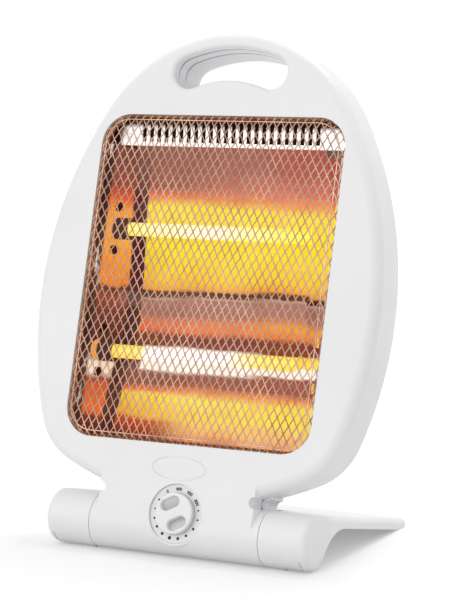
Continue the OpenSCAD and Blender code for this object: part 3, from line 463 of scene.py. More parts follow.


# Painted glow and reflections of the sheet round the tubes, given off as light: (height, colour)
# bands in millimetres up the head, with the stretch across the head that each list holds for.
# Between stretches one fades to the next.
# The colours were judged from enlarged parts of the photograph. The skew follows its line
# of sight and the bend its left gap, so that both line up in that view. In every view they stay
# fixed on the sheet.
GLOW_FOOT, GLOW_TOP = 60, 275
GLOW_SKEW = 0.494
GAP_BEND = [(66, -6.5), (78, -6), (109, -2.4), (146, 4.5), (174, 2.9), (229, -2.75), (272, -3.5)]
RIM_BANDS = [
    (60, (40, 26, 24)), (100, (84, 58, 50)), (140, (46, 30, 28)), (180, (96, 68, 58)),
    (220, (52, 34, 32)), (272, (60, 40, 36)),
]
CHEEK_BANDS = [
    (60, (70, 34, 30)), (72, (110, 48, 34)), (77, (226, 104, 42)), (96, (214, 90, 44)),
    (101, (140, 66, 50)), (106, (246, 228, 208)), (114, (240, 220, 196)), (118, (104, 54, 44)),
    (130, (74, 42, 40)), (150, (112, 56, 48)), (161, (146, 74, 58)), (168, (84, 44, 38)),
    (171, (242, 136, 50)), (190, (246, 148, 46)), (212, (248, 178, 54)), (228, (244, 148, 48)),
    (237, (224, 84, 42)), (246, (152, 74, 60)), (258, (130, 76, 66)), (272, (120, 72, 64)),
]
GAP_BANDS = [
    (60, (56, 32, 30)), (100, (82, 44, 42)), (118, (64, 38, 38)), (166, (78, 44, 46)),
    (172, (72, 28, 38)), (240, (75, 36, 44)), (250, (116, 72, 64)), (272, (126, 80, 72)),
]
END_BANDS = [
    (62, (60, 30, 26)), (68, (150, 54, 34)), (75, (200, 78, 36)), (78, (238, 170, 40)),
    (94, (248, 206, 50)), (97, (228, 100, 46)), (102, (130, 66, 52)), (112, (110, 62, 54)),
    (130, (96, 52, 48)), (136, (110, 50, 42)), (140, (228, 98, 54)), (147, (212, 108, 78)),
    (151, (160, 104, 92)), (161, (150, 104, 94)), (162.2, (196, 154, 136)), (163.4, (66, 36, 32)),
    (167.4, (84, 42, 32)), (169, (240, 150, 44)), (176, (246, 192, 40)), (200, (248, 218, 44)),
    (234, (248, 216, 52)), (240, (236, 120, 60)), (247, (150, 84, 72)), (272, (140, 92, 80)),
]
LEFT_BANDS = [
    (62, (120, 44, 30)), (74, (196, 72, 36)), (78, (240, 176, 44)), (94, (252, 220, 64)),
    (97, (232, 110, 50)), (102, (130, 66, 52)), (111, (124, 70, 58)), (112.8, (255, 252, 240)),
    (128, (255, 250, 236)), (129.6, (120, 54, 42)), (136, (116, 52, 42)), (140, (226, 108, 66)),
    (147, (210, 116, 84)), (151, (160, 106, 94)), (161, (152, 106, 96)), (162.2, (200, 158, 140)),
    (163.4, (66, 36, 32)), (167.4, (84, 42, 32)), (169, (242, 156, 48)), (176, (248, 200, 42)),
    (200, (250, 226, 44)), (234, (250, 224, 56)), (240, (238, 126, 62)), (247, (156, 90, 76)),
    (272, (144, 94, 82)),
]
MIDDLE_BANDS = [
    (62, (226, 130, 70)), (68, (248, 184, 104)), (78, (252, 216, 84)), (93, (253, 226, 84)),
    (98, (240, 140, 66)), (103, (150, 76, 56)), (110, (134, 72, 58)), (111.8, (255, 252, 242)),
    (129, (255, 250, 236)), (130.6, (120, 50, 40)), (137, (116, 48, 40)), (141, (236, 124, 60)),
    (148, (224, 128, 78)), (152, (166, 112, 98)), (162.6, (156, 110, 98)), (163.8, (204, 162, 144)),
    (165, (66, 36, 32)), (169, (84, 42, 32)), (170.6, (244, 158, 54)), (177, (250, 206, 46)),
    (200, (252, 230, 44)), (232, (252, 226, 56)), (239, (240, 136, 64)), (246, (206, 116, 96)),
    (258, (166, 104, 90)), (272, (158, 96, 84)),
]
RIGHT_BANDS = [
    (62, (238, 168, 110)), (70, (250, 196, 116)), (80, (252, 226, 76)), (92, (252, 222, 72)),
    (97, (240, 140, 62)), (102, (150, 70, 54)), (112.8, (142, 68, 56)), (114.2, (255, 252, 240)),
    (118.4, (255, 250, 236)), (119.6, (252, 222, 66)), (127.4, (252, 218, 60)),
    (128.6, (120, 50, 44)), (137, (118, 46, 40)), (140, (238, 130, 60)), (147, (244, 160, 56)),
    (151, (206, 128, 92)), (155, (165, 112, 98)), (164, (158, 110, 98)), (165.2, (204, 162, 144)),
    (166.6, (66, 34, 30)), (170, (84, 44, 34)), (172, (244, 160, 60)), (178, (250, 200, 50)),
    (200, (250, 226, 46)), (229, (250, 222, 52)), (237, (240, 140, 66)), (243, (216, 112, 88)),
    (250, (192, 104, 88)), (258, (176, 88, 76)), (272, (164, 80, 70)),
]
EDGE_BANDS = [(60, (222, 212, 202)), (165, (196, 178, 166)), (272, (236, 228, 220))]
GLOW = [
    (-116, -96.5, RIM_BANDS), (-94.5, -74.4, CHEEK_BANDS), (-73.2, -62.2, GAP_BANDS),
    (-61.2, -53, END_BANDS), (-51.6, -36, LEFT_BANDS), (-4, 26, MIDDLE_BANDS),
    (48, 87.4, RIGHT_BANDS), (88.6, 116, EDGE_BANDS),
]


def glow_stops(levels):
    """Stops of a colour ramp from (height, colour) levels up the head."""
    return [((level - GLOW_FOOT) / (GLOW_TOP - GLOW_FOOT), shade) for level, shade in levels]


def glow_places(finish, across, out, height):
    """Places across the sheet, skewed along the photograph's line of sight, with its gap bent."""
    aside = finish.math("SUBTRACT", across, finish.math("MULTIPLY", out, GLOW_SKEW))
    reach = 20
    bend = finish.ramp(height, glow_stops(
        (level, (*[0.5 + move / reach] * 3, 1)) for level, move in GAP_BEND
    ))
    bend = finish.math("MULTIPLY", finish.math("SUBTRACT", bend, 0.5), reach * MM)
    held = finish.math(
        "MULTIPLY", finish.span(aside, -91 * MM, -84 * MM), finish.span(aside, -30 * MM, -46 * MM))
    return finish.math("SUBTRACT", aside, finish.math("MULTIPLY", bend, held))


def glow_sheet():
    """Polished sheet round the tubes. Bands of painted glow, standing in for the tubes' reflections, run up the
    head and change across it.
    """
    finish = Finish("glow_sheet", Metallic=1.0, Roughness=0.26, Emission_Strength=1.0)
    head, across, up, out = finish.head_axes()
    waves = finish.noise(
        26, detail=4, roughness=0.6, stretch=(0.45, 1, 1), source=head, distortion=0.6)
    fine = finish.noise(190, detail=3, stretch=(0.5, 1, 1), source=head)
    shift = finish.math(
        "ADD", finish.span(waves, 0.25, 0.75, -2.2 * MM, 2.2 * MM),
        finish.span(fine, 0.2, 0.8, -0.6 * MM, 0.6 * MM))
    height = finish.span(finish.math("ADD", up, shift), GLOW_FOOT * MM, GLOW_TOP * MM)
    aside = glow_places(finish, across, out, height)
    lit, before = None, 0
    for start, end, bands in GLOW:
        shade = finish.ramp(height, glow_stops((level, colour(*band)) for level, band in bands))
        if lit:
            shade = finish.mix(finish.span(aside, before * MM, start * MM), lit, shade)
        lit, before = shade, end
    # Random blotches make the painted glow uneven
    blotch = finish.noise(44, detail=5, roughness=0.6, source=head, distortion=0.9)
    uneven_glow = finish.span(blotch, 0.36, 0.6, 0.16, 0.0)
    shaded = finish.mix(uneven_glow, lit, colour(200, 110, 40), "MULTIPLY")
    # Painted highlights: white glint streaks on the left rim
    glint = finish.span(finish.noise(70, detail=3, stretch=(1.6, 0.3, 1), source=head), 0.6, 0.66)
    glint = finish.math("MULTIPLY", glint, finish.span(aside, -95 * MM, -97 * MM))
    shaded = finish.mix(glint, shaded, colour(238, 224, 214))
    normal = finish.node("ShaderNodeNewGeometry").outputs["True Normal"]
    faces = finish.node("ShaderNodeVectorMath", {0: normal, 1: OUT}, operation="DOT_PRODUCT")
    outward = finish.span(faces.outputs["Value"], -0.6, -0.4)
    finish.set("Emission Color", finish.mix(outward, colour(0, 0, 0), shaded))
    tone = finish.noise(300, detail=3, stretch=(0.2, 1, 1), source=head)
    tarnish = finish.span(tone, 0.3, 0.7)
    finish.set("Base Color", finish.mix(tarnish, colour(76, 62, 54), colour(54, 42, 38)))
    finish.set("Roughness", finish.span(tone, 0.3, 0.7, 0.2, 0.34))
    finish.bump(waves, 0.0012, 0.4)
    finish.bump(finish.noise(900, detail=2, stretch=(0.1, 1, 1), source=head), 0.00002, 0.4)
    return finish.material


def bright_sheet(name="bright_sheet", shade=(236, 236, 234), gloss=0.22):
    """Mirror-bright aluminium sheet with rolling lines, a dark brown band at its top as painted shade behind the
    louvre, and darker past its left end.
    """
    finish = Finish(name, Metallic=1.0, Roughness=gloss)
    rolled = finish.noise(420, detail=4, stretch=(0.05, 1, 1))
    smear = finish.span(finish.noise(55, detail=4), 0.3, 0.7)
    sheet = finish.mix(smear, colour(*shade), colour(*(part - 22 for part in shade)))
    head, across, up, out = finish.head_axes()
    # Painted shade in the band at the top; the sheet is also darker past its left end
    dark_top_and_left_end = finish.math(
        "MAXIMUM", finish.span(up, 287 * MM, 290 * MM), finish.span(across, -88 * MM, -91 * MM))
    finish.set("Base Color", finish.mix(dark_top_and_left_end, sheet, colour(66, 42, 36)))
    finish.set("Roughness", finish.span(rolled, 0.25, 0.75, gloss - 0.06, gloss + 0.12))
    finish.bump(rolled, 0.00004, 0.4)
    return finish.material


def zinc_steel(name="zinc_steel", shade=(176, 178, 184), gloss=0.32, lit=None):
    """Zinc plated steel with fine turning marks. A painted glow, given as lit, may light it right of the middle.
    """
    finish = Finish(name, Metallic=1.0, Roughness=gloss)
    fine = finish.noise(900, detail=3)
    blush = finish.noise(120, detail=3)
    finish.set("Base Color", finish.ramp(blush, [
        (0.3, colour(*(part - 26 for part in shade))), (0.7, colour(*shade))
    ]))
    finish.set("Roughness", finish.span(fine, 0.3, 0.7, gloss - 0.08, gloss + 0.12))
    finish.bump(fine, 0.00003, 0.5)
    # Painted light: given off right of the middle in the glow's colour
    if lit:
        head, across, up, out = finish.head_axes()
        right = finish.span(across, 0.0, 1 * MM)
        finish.set("Emission Color", finish.mix(right, colour(0, 0, 0), colour(*lit)))
        finish.shader.inputs["Emission Strength"].default_value = 1.0
    return finish.material


def rubber():
    """Matt black moulded rubber with a dusty bloom."""
    finish = Finish("rubber", Roughness=0.85, IOR=1.5)
    dust = finish.noise(220, detail=5, roughness=0.7)
    bloom = finish.ramp(dust, [(0.35, colour(24, 24, 26)), (0.75, colour(52, 51, 50))])
    finish.set("Base Color", bloom)
    finish.set("Roughness", finish.span(dust, 0.3, 0.7, 0.75, 0.95))
    finish.bump(finish.noise(1600, detail=3), 0.00006, 0.6)
    return finish.material


def moulded(name, low, high, gloss=0.5):
    """Plain moulded plastic or rubber, or a near-black coat that stands for painted shade, between two shades."""
    finish = Finish(name, Roughness=gloss, IOR=1.5)
    flow = finish.noise(90, detail=4, stretch=(1, 1, 0.4))
    finish.set("Base Color", finish.ramp(flow, [(0.3, colour(*low)), (0.7, colour(*high))]))
    finish.set("Roughness", finish.span(flow, 0.3, 0.7, gloss - 0.08, gloss + 0.1))
    finish.bump(finish.noise(1200, detail=2), 0.00003, 0.5)
    return finish.material


def printed_ink():
    """Dark printing ink on the dial, slightly uneven and worn at its edges."""
    finish = Finish("printed_ink", Roughness=0.45, IOR=1.5)
    wear = finish.noise(1500, detail=4)
    shade = finish.ramp(wear, [(0.3, colour(12, 12, 15)), (0.8, colour(40, 40, 44))])
    finish.set("Base Color", shade)
    finish.set("Roughness", finish.span(wear, 0.3, 0.7, 0.5, 0.7))
    return finish.material


# ---------------------------------------------------------------- plain mesh work

def new_piece(name, mesh, body, slot, *nodes):
    """Puts a finished mesh on its body and in the place of its solids. Its finish slot is not used."""
    piece = bpy.data.objects.new(name, mesh)
    scene.collection.objects.link(piece)
    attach(piece, body)
    if nodes:
        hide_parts(*nodes)
    return piece


def finished_mesh(name, made, material, mesh=None):
    """A mesh of one material from worked faces and edges, which are then let go."""
    mesh = mesh or bpy.data.meshes.new(name)
    made.to_mesh(mesh)
    made.free()
    mesh.materials.clear()
    mesh.materials.append(material)
    return mesh


def round_off(made, crease=CREASE):
    """Smooth faces, crisp only along edges that turn by more than the crease, in degrees."""
    for face in made.faces:
        face.smooth = True
        face.material_index = 0
    for edge in made.edges:
        edge.smooth = edge.is_manifold and edge.calc_face_angle(math.pi) < math.radians(crease)


def closed_form(verts, faces, place=None):
    """A closed form from plain points and faces, with its faces turned outwards."""
    made = bmesh.new()
    points = [made.verts.new(vert) for vert in verts]
    for face in faces:
        made.faces.new([points[index] for index in face])
    if place:
        made.transform(place)
    bmesh.ops.recalc_face_normals(made, faces=made.faces)
    return made


def joined(name, parts, place, material):
    """One mesh of one material from several, moved to its place."""
    both = bmesh.new()
    for part in parts:
        both.from_mesh(part)
    both.transform(place)
    return finished_mesh(name, both, material)


def ring_faces(rings, count):
    """Faces between rings of points, where the last ring joins the first."""
    faces = []
    for ring in range(rings):
        following = (ring + 1) % rings
        for step in range(count):
            other = (step + 1) % count
            faces.append((
                ring * count + step, ring * count + other,
                following * count + other, following * count + step,
            ))
    return faces


def smoothed(node, material):
    """A copy of a solid with its facets merged, rounded surfaces smooth and its edges crisp."""
    mesh = frame["nodes"][node].data.copy()
    mesh.name = node + "_surface"
    for label in ("custom_normal", "sharp_face", "sharp_edge"):
        if label in mesh.attributes:
            mesh.attributes.remove(mesh.attributes[label])
    loose = bmesh.new()
    loose.from_mesh(mesh)
    bmesh.ops.remove_doubles(loose, verts=loose.verts, dist=1e-6)
    round_off(loose)
    finished_mesh(mesh.name, loose, material, mesh)
    piece = new_piece(node + "_surface", mesh, node_body[node], slot_of[node], node)
    weighted = piece.modifiers.new("weighted", "WEIGHTED_NORMAL")
    weighted.keep_sharp = True


# ---------------------------------------------------------------- guard

def net_lattice(material):
    """The expanded net laid flat: two strands rise from every knuckle of two crossed grids."""
    pattern = Pattern("expanded_net")
    pitch = pattern.size("Pitch across", 6.2 * MM)
    rise = pattern.size("Pitch up", 11 * MM)
    columns = pattern.size("Columns", 37, "NodeSocketInt")
    rows = pattern.size("Rows", 25, "NodeSocketInt")
    width = pattern.size("Strand width", 0.7 * MM)
    depth = pattern.size("Strand depth", 0.62 * MM)
    weave = pattern.size("Weave", 0.32 * MM)
    half_across = pattern.size("Half width", NET_HALF[0] - NET_CORNER)
    half_up = pattern.size("Half height", NET_HALF[1] - NET_CORNER)
    reach = pattern.size("Reach", NET_CORNER + NET_EDGE)
    half_pitch = pattern.math("MULTIPLY", pitch, 0.5)
    half_rise = pattern.math("MULTIPLY", rise, 0.5)

    grid = pattern.shape("MeshGrid", {
        "Size X": pattern.math("MULTIPLY", pitch, pattern.math("SUBTRACT", columns, 1.0)),
        "Size Y": pattern.math("MULTIPLY", rise, pattern.math("SUBTRACT", rows, 1.0)),
        "Vertices X": columns, "Vertices Y": rows,
    })
    shifted = pattern.shape("Transform", {
        0: grid, "Translation": pattern.vector(half_pitch, half_rise),
    })
    knuckles = pattern.join(grid, shifted)

    place = pattern.shape("InputPosition")
    apart = pattern.node("ShaderNodeSeparateXYZ", {0: place}).outputs
    past = []
    for axis, half in (("X", half_across), ("Y", half_up)):
        over = pattern.math("SUBTRACT", pattern.math("ABSOLUTE", apart[axis]), half)
        past.append(pattern.math("MAXIMUM", over, 0.0))
    inside = pattern.node(
        "FunctionNodeCompare", {0: pattern.distance(*past), 1: reach}, operation="LESS_THAN")

    profile = pattern.shape("CurvePrimitiveQuadrilateral", {"Width": width, "Height": depth})
    along = pattern.node("GeometryNodeSplineParameter").outputs["Factor"]
    wave = pattern.math("COSINE", pattern.math("MULTIPLY", along, math.pi))
    wave = pattern.vector(0.0, 0.0, pattern.math("MULTIPLY", wave, weave))
    middle = pattern.math("SUBTRACT", pattern.math("MULTIPLY", along, 2.0), 1.0)
    middle = pattern.math("POWER", pattern.math("ABSOLUTE", middle), 3.0)
    swell = pattern.math("ADD", 0.92, pattern.math("MULTIPLY", middle, 0.3))
    strands = []
    for side in (1.0, -1.0):
        line = pattern.shape("CurvePrimitiveLine", {
            "End": pattern.vector(pattern.math("MULTIPLY", half_pitch, side), half_rise),
        })
        curve = pattern.shape("ResampleCurve", {"Curve": line, "Count": 4})
        bent = pattern.shape("SetPosition", {0: curve, "Offset": wave})
        upright = pattern.shape("SetCurveNormal", {0: bent}, mode="Z_UP")
        strands.append(pattern.shape("CurveToMesh", {
            "Curve": upright, "Profile Curve": profile, "Fill Caps": True, "Scale": swell,
        }))
    placed = pattern.shape("InstanceOnPoints", {
        "Points": knuckles, "Selection": inside.outputs[0], "Instance": pattern.join(*strands),
    })
    return pattern.mesh(placed, material)


def bend_over_edge(mesh):
    """Rolls the flat net over the guard's rounded rim and down its side to the hem."""
    points = np.empty(len(mesh.vertices) * 3)
    mesh.vertices.foreach_get("co", points)
    points = points.reshape(-1, 3)
    flat, depth = points[:, :2].copy(), points[:, 2].copy()
    beyond = np.maximum(np.abs(flat) - (np.array(NET_HALF) - NET_CORNER), 0) * np.sign(flat)
    length = np.linalg.norm(beyond, axis=1)
    way = beyond / np.maximum(length, 1e-9)[:, None]
    past = length - NET_CORNER
    far = np.minimum(past, NET_EDGE)
    turn = np.clip(far / ROLL, 0, math.pi / 2)
    drop = ROLL * (1 - np.cos(turn)) + np.maximum(far - ROLL * math.pi / 2, 0)
    outward = (ROLL + depth) * np.sin(turn) - past
    over = far > 0
    points[over, :2] = (flat + way * outward[:, None])[over]
    points[:, 2] = np.where(over, NET_FRONT - drop + np.cos(turn) * depth, NET_FRONT + depth)
    mesh.vertices.foreach_set("co", points.ravel())
    mesh.update()


def rounded_outline(half, corner, steps=10):
    """Points round a rectangle with rounded corners, anticlockwise."""
    points = []
    for quarter, (side_x, side_y) in enumerate(((1, 1), (-1, 1), (-1, -1), (1, -1))):
        for step in range(steps + 1):
            angle = math.pi / 2 * (quarter + step / steps)
            points.append((
                side_x * (half[0] - corner) + corner * math.cos(angle),
                side_y * (half[1] - corner) + corner * math.sin(angle),
            ))
    return points


def band(name, half, corner, profile, material):
    """A closed strip that follows a rounded rectangle. The profile gives (outward, height)."""
    rings = [rounded_outline((half[0] + out, half[1] + out), corner + out) for out, _ in profile]
    verts = [(x, y, height) for ring, (_, height) in zip(rings, profile) for x, y in ring]
    form = closed_form(verts, ring_faces(len(rings), len(rings[0])))
    return finished_mesh(name, form, material)


def guard_piece(material):
    """The whole guard: the expanded net, rolled over its rim between wires into a folded hem."""
    net = net_lattice(material)
    bend_over_edge(net)
    wall, wire = 0.55 * MM, 0.42 * MM
    hem = band("hem", (NET_HALF[0] + ROLL, NET_HALF[1] + ROLL), NET_CORNER + ROLL, [
        (wall, HEM_BACK), (wall, HEM_FRONT), (wall * 0.4, HEM_FRONT + wall),
        (-wall * 0.4, HEM_FRONT + wall), (-wall, HEM_FRONT), (-wall, HEM_BACK),
    ], material)
    turns = np.radians(range(0, 360, 60))
    rims = []
    for out, height in ((0.3 * MM, NET_FRONT - 0.1 * MM), (ROLL, NET_FRONT - ROLL)):
        ring = [(out + wire * math.cos(turn), height + wire * math.sin(turn)) for turn in turns]
        rims.append(band("rim_wire", NET_HALF, NET_CORNER, ring, material))
    mesh = joined("guard_net", (net, hem, *rims), head_matrix(0, GUARD_MIDDLE, 0), material)
    new_piece("guard_net", mesh, "head", "copper_grille", "guard")


# ---------------------------------------------------------------- tubes and louvre

def wound_coil(level, material):
    """A heating wire wound into a close helix inside its quartz tube."""
    name = "coil_" + level
    pattern = Pattern(name)
    turns = pattern.size("Turns", 58.0)
    length = pattern.size("Length", COIL_LENGTH)
    radius = pattern.size("Radius", 2.9 * MM)
    wire = pattern.size("Wire radius", 0.45 * MM)
    spiral = pattern.shape("CurveSpiral", {
        "Resolution": 12, "Rotations": turns, "Start Radius": radius,
        "End Radius": radius, "Height": length,
    })
    profile = pattern.shape("CurvePrimitiveCircle", {"Resolution": 5, "Radius": wire})
    tube = pattern.shape("CurveToMesh", {
        "Curve": spiral, "Profile Curve": profile, "Fill Caps": True,
    })
    mesh = pattern.mesh(tube, material)
    aim = Matrix.Rotation(math.pi / 2, 4, "Y")
    mesh.transform(head_matrix(-COIL_LENGTH / 2, TUBE_HEIGHTS[level], 0) @ aim)
    mesh.shade_smooth()
    new_piece(name + "_wound", mesh, "head", "glowing_wire", name)


def louvre_slats(material):
    """The lanced slats behind the louvre's slots, each bent back from one side of its slot."""
    pattern = Pattern("louvre_slats")
    count = pattern.size("Slats", 24, "NodeSocketInt")
    pitch = pattern.size("Pitch", 6.1 * MM)
    width = pattern.size("Slat width", 4.8 * MM)
    height = pattern.size("Slat height", 16 * MM)
    sheet = pattern.size("Sheet", 0.35 * MM)
    bend = pattern.size("Bend", math.radians(40))
    blade = pattern.shape("MeshCube", {"Size": pattern.vector(width, height, sheet)})
    shifted = pattern.shape("Transform", {
        0: blade, "Translation": pattern.vector(pattern.math("MULTIPLY", width, 0.5)),
    })
    turned = pattern.shape("Transform", {0: shifted, "Rotation": pattern.vector(y=bend)})
    half_run = pattern.math("MULTIPLY", pattern.math("SUBTRACT", count, 1.0), -0.5)
    line = pattern.shape("MeshLine", {
        "Count": count, "Offset": pattern.vector(pitch),
        "Start Location": pattern.vector(pattern.math("MULTIPLY", pitch, half_run)),
    })
    placed = pattern.shape("InstanceOnPoints", {"Points": line, "Instance": turned})
    mesh = pattern.mesh(placed, material)
    hang = Matrix.Translation((-1.6 * MM, 10.25 * MM, -0.2 * MM))
    mesh.transform(Matrix.Rotation(LOUVRE_SLOPE, 4, "X") @ hang)
    mesh.transform(head_matrix(0, *LOUVRE_FOOT))
    new_piece("louvre_slats", mesh, "head", "reflector_sheet")


# ---------------------------------------------------------------- dial and knob

def on_ring(mark):
    """The place of a mark on the dial's ring, given in degrees clockwise from the top."""
    angle = math.radians(mark)
    return DIAL_RING * math.sin(angle), DIAL_RING * math.cos(angle), 0


def dial_dots(material):
    """The ring of setting dots round the knob, larger towards the low settings."""
    places = bpy.data.meshes.new("dot_places")
    places.from_pydata([on_ring(mark) for mark in DOTS], [], [])
    wide = places.attributes.new("wide", "FLOAT", "POINT")
    wide.data.foreach_set("value", list(DOTS.values()))
    pattern = Pattern("dial_dots")
    given = pattern.tree.interface.new_socket(
        "Places", in_out="INPUT", socket_type="NodeSocketGeometry")
    pattern.tree.interface.move(given, 0)
    thick = pattern.size("Thickness", 0.04 * MM)
    dot = pattern.shape("MeshCylinder", {"Vertices": 16, "Radius": 1 * MM, "Depth": thick})
    width = pattern.node(
        "GeometryNodeInputNamedAttribute", {"Name": "wide"}, data_type="FLOAT"
    ).outputs["Attribute"]
    placed = pattern.shape("InstanceOnPoints", {
        "Points": pattern.start.outputs["Places"], "Instance": dot,
        "Scale": pattern.vector(width, width, 1.0),
    })
    return pattern.mesh(placed, material, start=places)


def dial_number(text, mark):
    """One plain number of the dial's print, set round the ring."""
    curve = bpy.data.curves.new("number", "FONT")
    curve.body = text
    curve.size = 3.2 * MM
    curve.offset = 0.13 * MM
    curve.align_x = "CENTER"
    curve.align_y = "CENTER"
    curve.extrude = 0.02 * MM
    curve.resolution_u = 3
    mesh = plain_mesh(bpy.data.objects.new("number", curve))
    mesh.transform(Matrix.Rotation(-math.radians(mark), 4, "Z"))
    mesh.transform(Matrix.Translation(on_ring(mark)))
    return mesh


def dial_print(material):
    """The dial's plain marks and numbers, joined into one thin printed piece."""
    parts = [dial_dots(material)] + [dial_number(text, mark) for text, mark in NUMBERS]
    place = head_matrix(*DIAL_MIDDLE, DIAL_FACE + 0.03 * MM)
    new_piece("dial_print", joined("dial_print", parts, place, material), "head", "dark_plastic")


def revolved_cap(rings, turns):
    """A closed cap from rings of (radius, height at each angle), with a flat foot."""
    angles = np.arange(turns) * 2 * math.pi / turns
    cap = bmesh.new()
    rows = []
    for radius, heights in rings:
        rows.append([
            cap.verts.new((radius * math.cos(angle), radius * math.sin(angle), height))
            for angle, height in zip(angles, heights)
        ])
    tip = cap.verts.new((0, 0, float(np.mean(rings[0][1]))))
    for step in range(turns):
        other = (step + 1) % turns
        cap.faces.new((tip, rows[0][step], rows[0][other]))
        for inner, outer in zip(rows, rows[1:]):
            cap.faces.new((inner[step], outer[step], outer[other], inner[other]))
    cap.faces.new(list(reversed(rows[-1])))
    bmesh.ops.recalc_face_normals(cap, faces=cap.faces)
    round_off(cap, 50)
    return cap


def knob_piece(material):
    """The knob: a round cap with a rounded edge and a scoop on either side of its grip."""
    turns = 120
    angles = np.arange(turns) * 2 * math.pi / turns
    flat, edge, swell = 13.5 * MM, 0.9 * MM, 0.25 * MM
    grip, scoop_half, scoop_run, scoop_wall = 3.3 * MM, 4.3 * MM, 3.6 * MM, 1.1 * MM
    scoop_depth, scoop_rise = 4.6 * MM, 2.2 * MM
    wall = ((14.5, 20.9), (14.6, 19.6), (14.75, 18.3), (14.85, 17.9))
    rings = []
    for radius in np.linspace(0.35 * MM, flat, 40):
        x, y = radius * np.cos(angles), radius * np.sin(angles)
        along = x * math.cos(GRIP_TILT) + y * math.sin(GRIP_TILT)
        aside = np.abs(y * math.cos(GRIP_TILT) - x * math.sin(GRIP_TILT))
        reach = np.hypot(np.maximum(np.abs(along) - scoop_run, 0), aside - grip - scoop_half)
        inside = np.clip((scoop_half - reach) / scoop_wall, 0, 1)
        deep = scoop_depth - scoop_rise * np.clip((aside - grip) / (2 * scoop_half), 0, 1)
        dome = swell * (radius / flat) ** 2
        rings.append((radius, KNOB_FRONT - dome - deep * inside ** 2 * (3 - 2 * inside)))
    for turn in np.radians((20, 40, 60, 80)):
        drop = swell + edge * (1 - math.cos(turn))
        rings.append((flat + edge * math.sin(turn), np.full(turns, KNOB_FRONT - drop)))
    for radius, height in wall:
        rings.append((radius * MM, np.full(turns, height * MM)))
    cap = revolved_cap(rings, turns)
    cap.transform(head_matrix(*DIAL_MIDDLE, 0))
    mesh = finished_mesh("knob_cap", cap, material)
    new_piece("knob_cap", mesh, "knob", "white_plastic", "knob")


# ---------------------------------------------------------------- white trim

def white_trim(name, form, body, material, crease=CREASE):
    """A closed piece of the white plastic, rounded off and put on its body."""
    round_off(form, crease)
    new_piece(name, finished_mesh(name, form, material), body, "white_plastic")


def badge_ring(material):
    """The bare oval's raised line on the face below the grille."""
    profile = [(-0.55, -0.1), (-0.35, 0.14), (0.0, 0.24), (0.35, 0.14), (0.55, -0.1), (0.0, -0.25)]
    angles = np.arange(96) * 2 * math.pi / 96
    verts = [
        ((BADGE_HALF[0] + aside * MM) * math.cos(angle),
         (BADGE_HALF[1] + aside * MM) * math.sin(angle), lift * MM)
        for aside, lift in profile for angle in angles
    ]
    faces = ring_faces(len(profile), len(angles))
    form = closed_form(verts, faces, head_matrix(*BADGE_MIDDLE, FACE_OUT))
    white_trim("badge_ring", form, "head", material, crease=80)


def prism(outline, side, inner, outer, place):
    """A prism from an outline in Y and Z, between two places along X on one side."""
    count = len(outline)
    low, high = sorted((side * inner, side * outer))
    verts = [(x, y, z) for x in (low, high) for y, z in outline]
    faces = [tuple(range(count)), tuple(range(2 * count - 1, count - 1, -1))]
    for step in range(count):
        other = (step + 1) % count
        faces.append((step, count + step, count + other, other))
    return closed_form(verts, faces, place)


def arch_webs(material):
    """Corner webs that carry the bar's round ends into the arch under the plate."""
    outline = [(0.0, 0.0)]
    for angle in np.radians(np.linspace(327.2, 360 - STAND_SLOPE + 0.5, 12)):
        way = np.array((math.cos(angle), math.sin(angle)))
        ahead = way @ np.array(ARCH_MIDDLE)
        aside = way[0] * ARCH_MIDDLE[1] - way[1] * ARCH_MIDDLE[0]
        outline.append(tuple(way * (ahead - math.sqrt(ARCH_RADIUS ** 2 - aside ** 2))))
    inner, outer = STAND_HALF - 2.5 * MM, STAND_HALF - 0.04 * MM
    for side, name in ((-1, "arch_web_left"), (1, "arch_web_right")):
        form = prism(outline, side, inner, outer, Matrix.Translation(HINGE))
        white_trim(name, form, "stand", material)


def seam_lips(material):
    """The neck's inner lips, which close the seam between the shells at its sides."""
    low, high, back, front = 14 * MM, 31 * MM, -6 * MM, 2 * MM
    outline = [(low, back), (high, back), (high, front), (low, front)]
    for side, name in ((-1, "seam_lip_left"), (1, "seam_lip_right")):
        form = prism(outline, side, 54.5 * MM, 58.25 * MM, head_matrix())
        white_trim(name, form, "head", material)


# ---------------------------------------------------------------- the heater

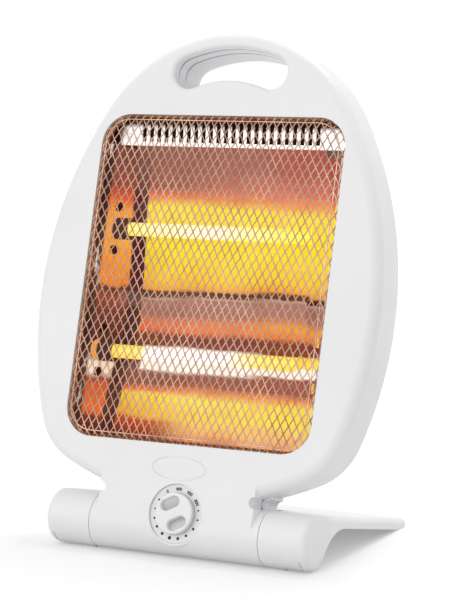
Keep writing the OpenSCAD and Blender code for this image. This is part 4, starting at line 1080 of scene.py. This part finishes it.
def make_finishes():
    """Every finish, by the name of the node or group that takes it."""
    return {
        "white": white_plastic(),
        "dial": white_plastic("dial_plastic", (236, 236, 238)),
        "knob": white_plastic("knob_plastic", marks=scoop_shade),
        "copper": copper_wire(),
        "glow": glow_sheet(),
        "bright": bright_sheet(),
        "darker_brown": bright_sheet("scorched_sheet", (126, 84, 70), 0.4),
        "upper_tube": quartz("quartz_upper", [
            (0.0, (255, 236, 100)), (0.15, (255, 246, 165)), (0.48, (255, 252, 215)),
            (0.7, (255, 244, 135)), (0.86, (253, 236, 78)), (1.0, (251, 230, 54)),
        ]),
        "lower_tube": quartz("quartz_lower", [
            (0.0, (255, 216, 70)), (0.16, (255, 232, 100)), (0.2, (255, 255, 255)),
            (0.6, (255, 255, 255)), (0.78, (254, 232, 100)), (1.0, (252, 220, 60)),
        ]),
        "wire": glowing_wire(),
        "ceramic": ceramic(),
        "steel": zinc_steel(),
        # Bracket screws: burnt steel with painted glow light right of the middle
        "burnt": zinc_steel("burnt_steel", (92, 56, 44), 0.5, (246, 196, 60)),
        "rubber": rubber(),
        "pale_rubber": moulded("pale_rubber", (218, 218, 221), (230, 230, 232), 0.7),
        # Near-black coat of the louvre's slats: painted shade behind its slots
        "soot": moulded("soot", (8, 6, 6), (26, 20, 18), 0.9),
        "dark": moulded("dark_plastic", (34, 34, 37), (50, 50, 54)),
        "pale": moulded("pale_plastic", (214, 213, 198), (228, 227, 214)),
        "ink": printed_ink(),
    }


def dress_nodes(finishes):
    """Gives each solid its finish, as a copy whose round faces are smooth.

    The brackets, the heat shield and the right end caps take the sheet's glow, as the tubes
    light them in the photograph.
    """
    kinds = {
        "white_plastic": "white", "reflector_sheet": "bright", "steel": "steel",
        "galvanised": "glow", "ceramic": "ceramic", "rubber": "rubber",
        "dark_plastic": "dark", "pale_plastic": "pale",
    }
    special = {
        "reflector": "glow", "cheek_left": "glow", "cheek_right": "glow",
        "ceramic_upper_right": "glow", "ceramic_lower_right": "glow", "bracket_screws": "burnt",
        "bottom_flange": "darker_brown", "front_feet": "pale_rubber", "dial_plate": "dial",
        "tube_upper": "upper_tube", "tube_lower": "lower_tube",
    }
    made_elsewhere = ("guard", "coil_upper", "coil_lower", "knob")
    for node, slot in slot_of.items():
        if node not in made_elsewhere:
            smoothed(node, finishes[special.get(node) or kinds[slot]])


make_camera()
make_world(0.77)
make_lamp("top_softbox", place=(0.12, 0.5, 1.5), aim=(0, 0, 0.1), size=0.7, power=7)
make_lamp("front_softbox", place=(-0.9, -1.9, 0.9), aim=(0, 0, 0.2), size=1.6, power=10)
make_floor()

finishes = make_finishes()
dress_nodes(finishes)
guard_piece(finishes["copper"])
for level in TUBE_HEIGHTS:
    wound_coil(level, finishes["wire"])
# The slats are near-black, as painted shade seen through the louvre's slots
louvre_slats(finishes["soot"])
knob_piece(finishes["knob"])
dial_print(finishes["ink"])
for trim in (badge_ring, arch_webs, seam_lips):
    trim(finishes["white"])
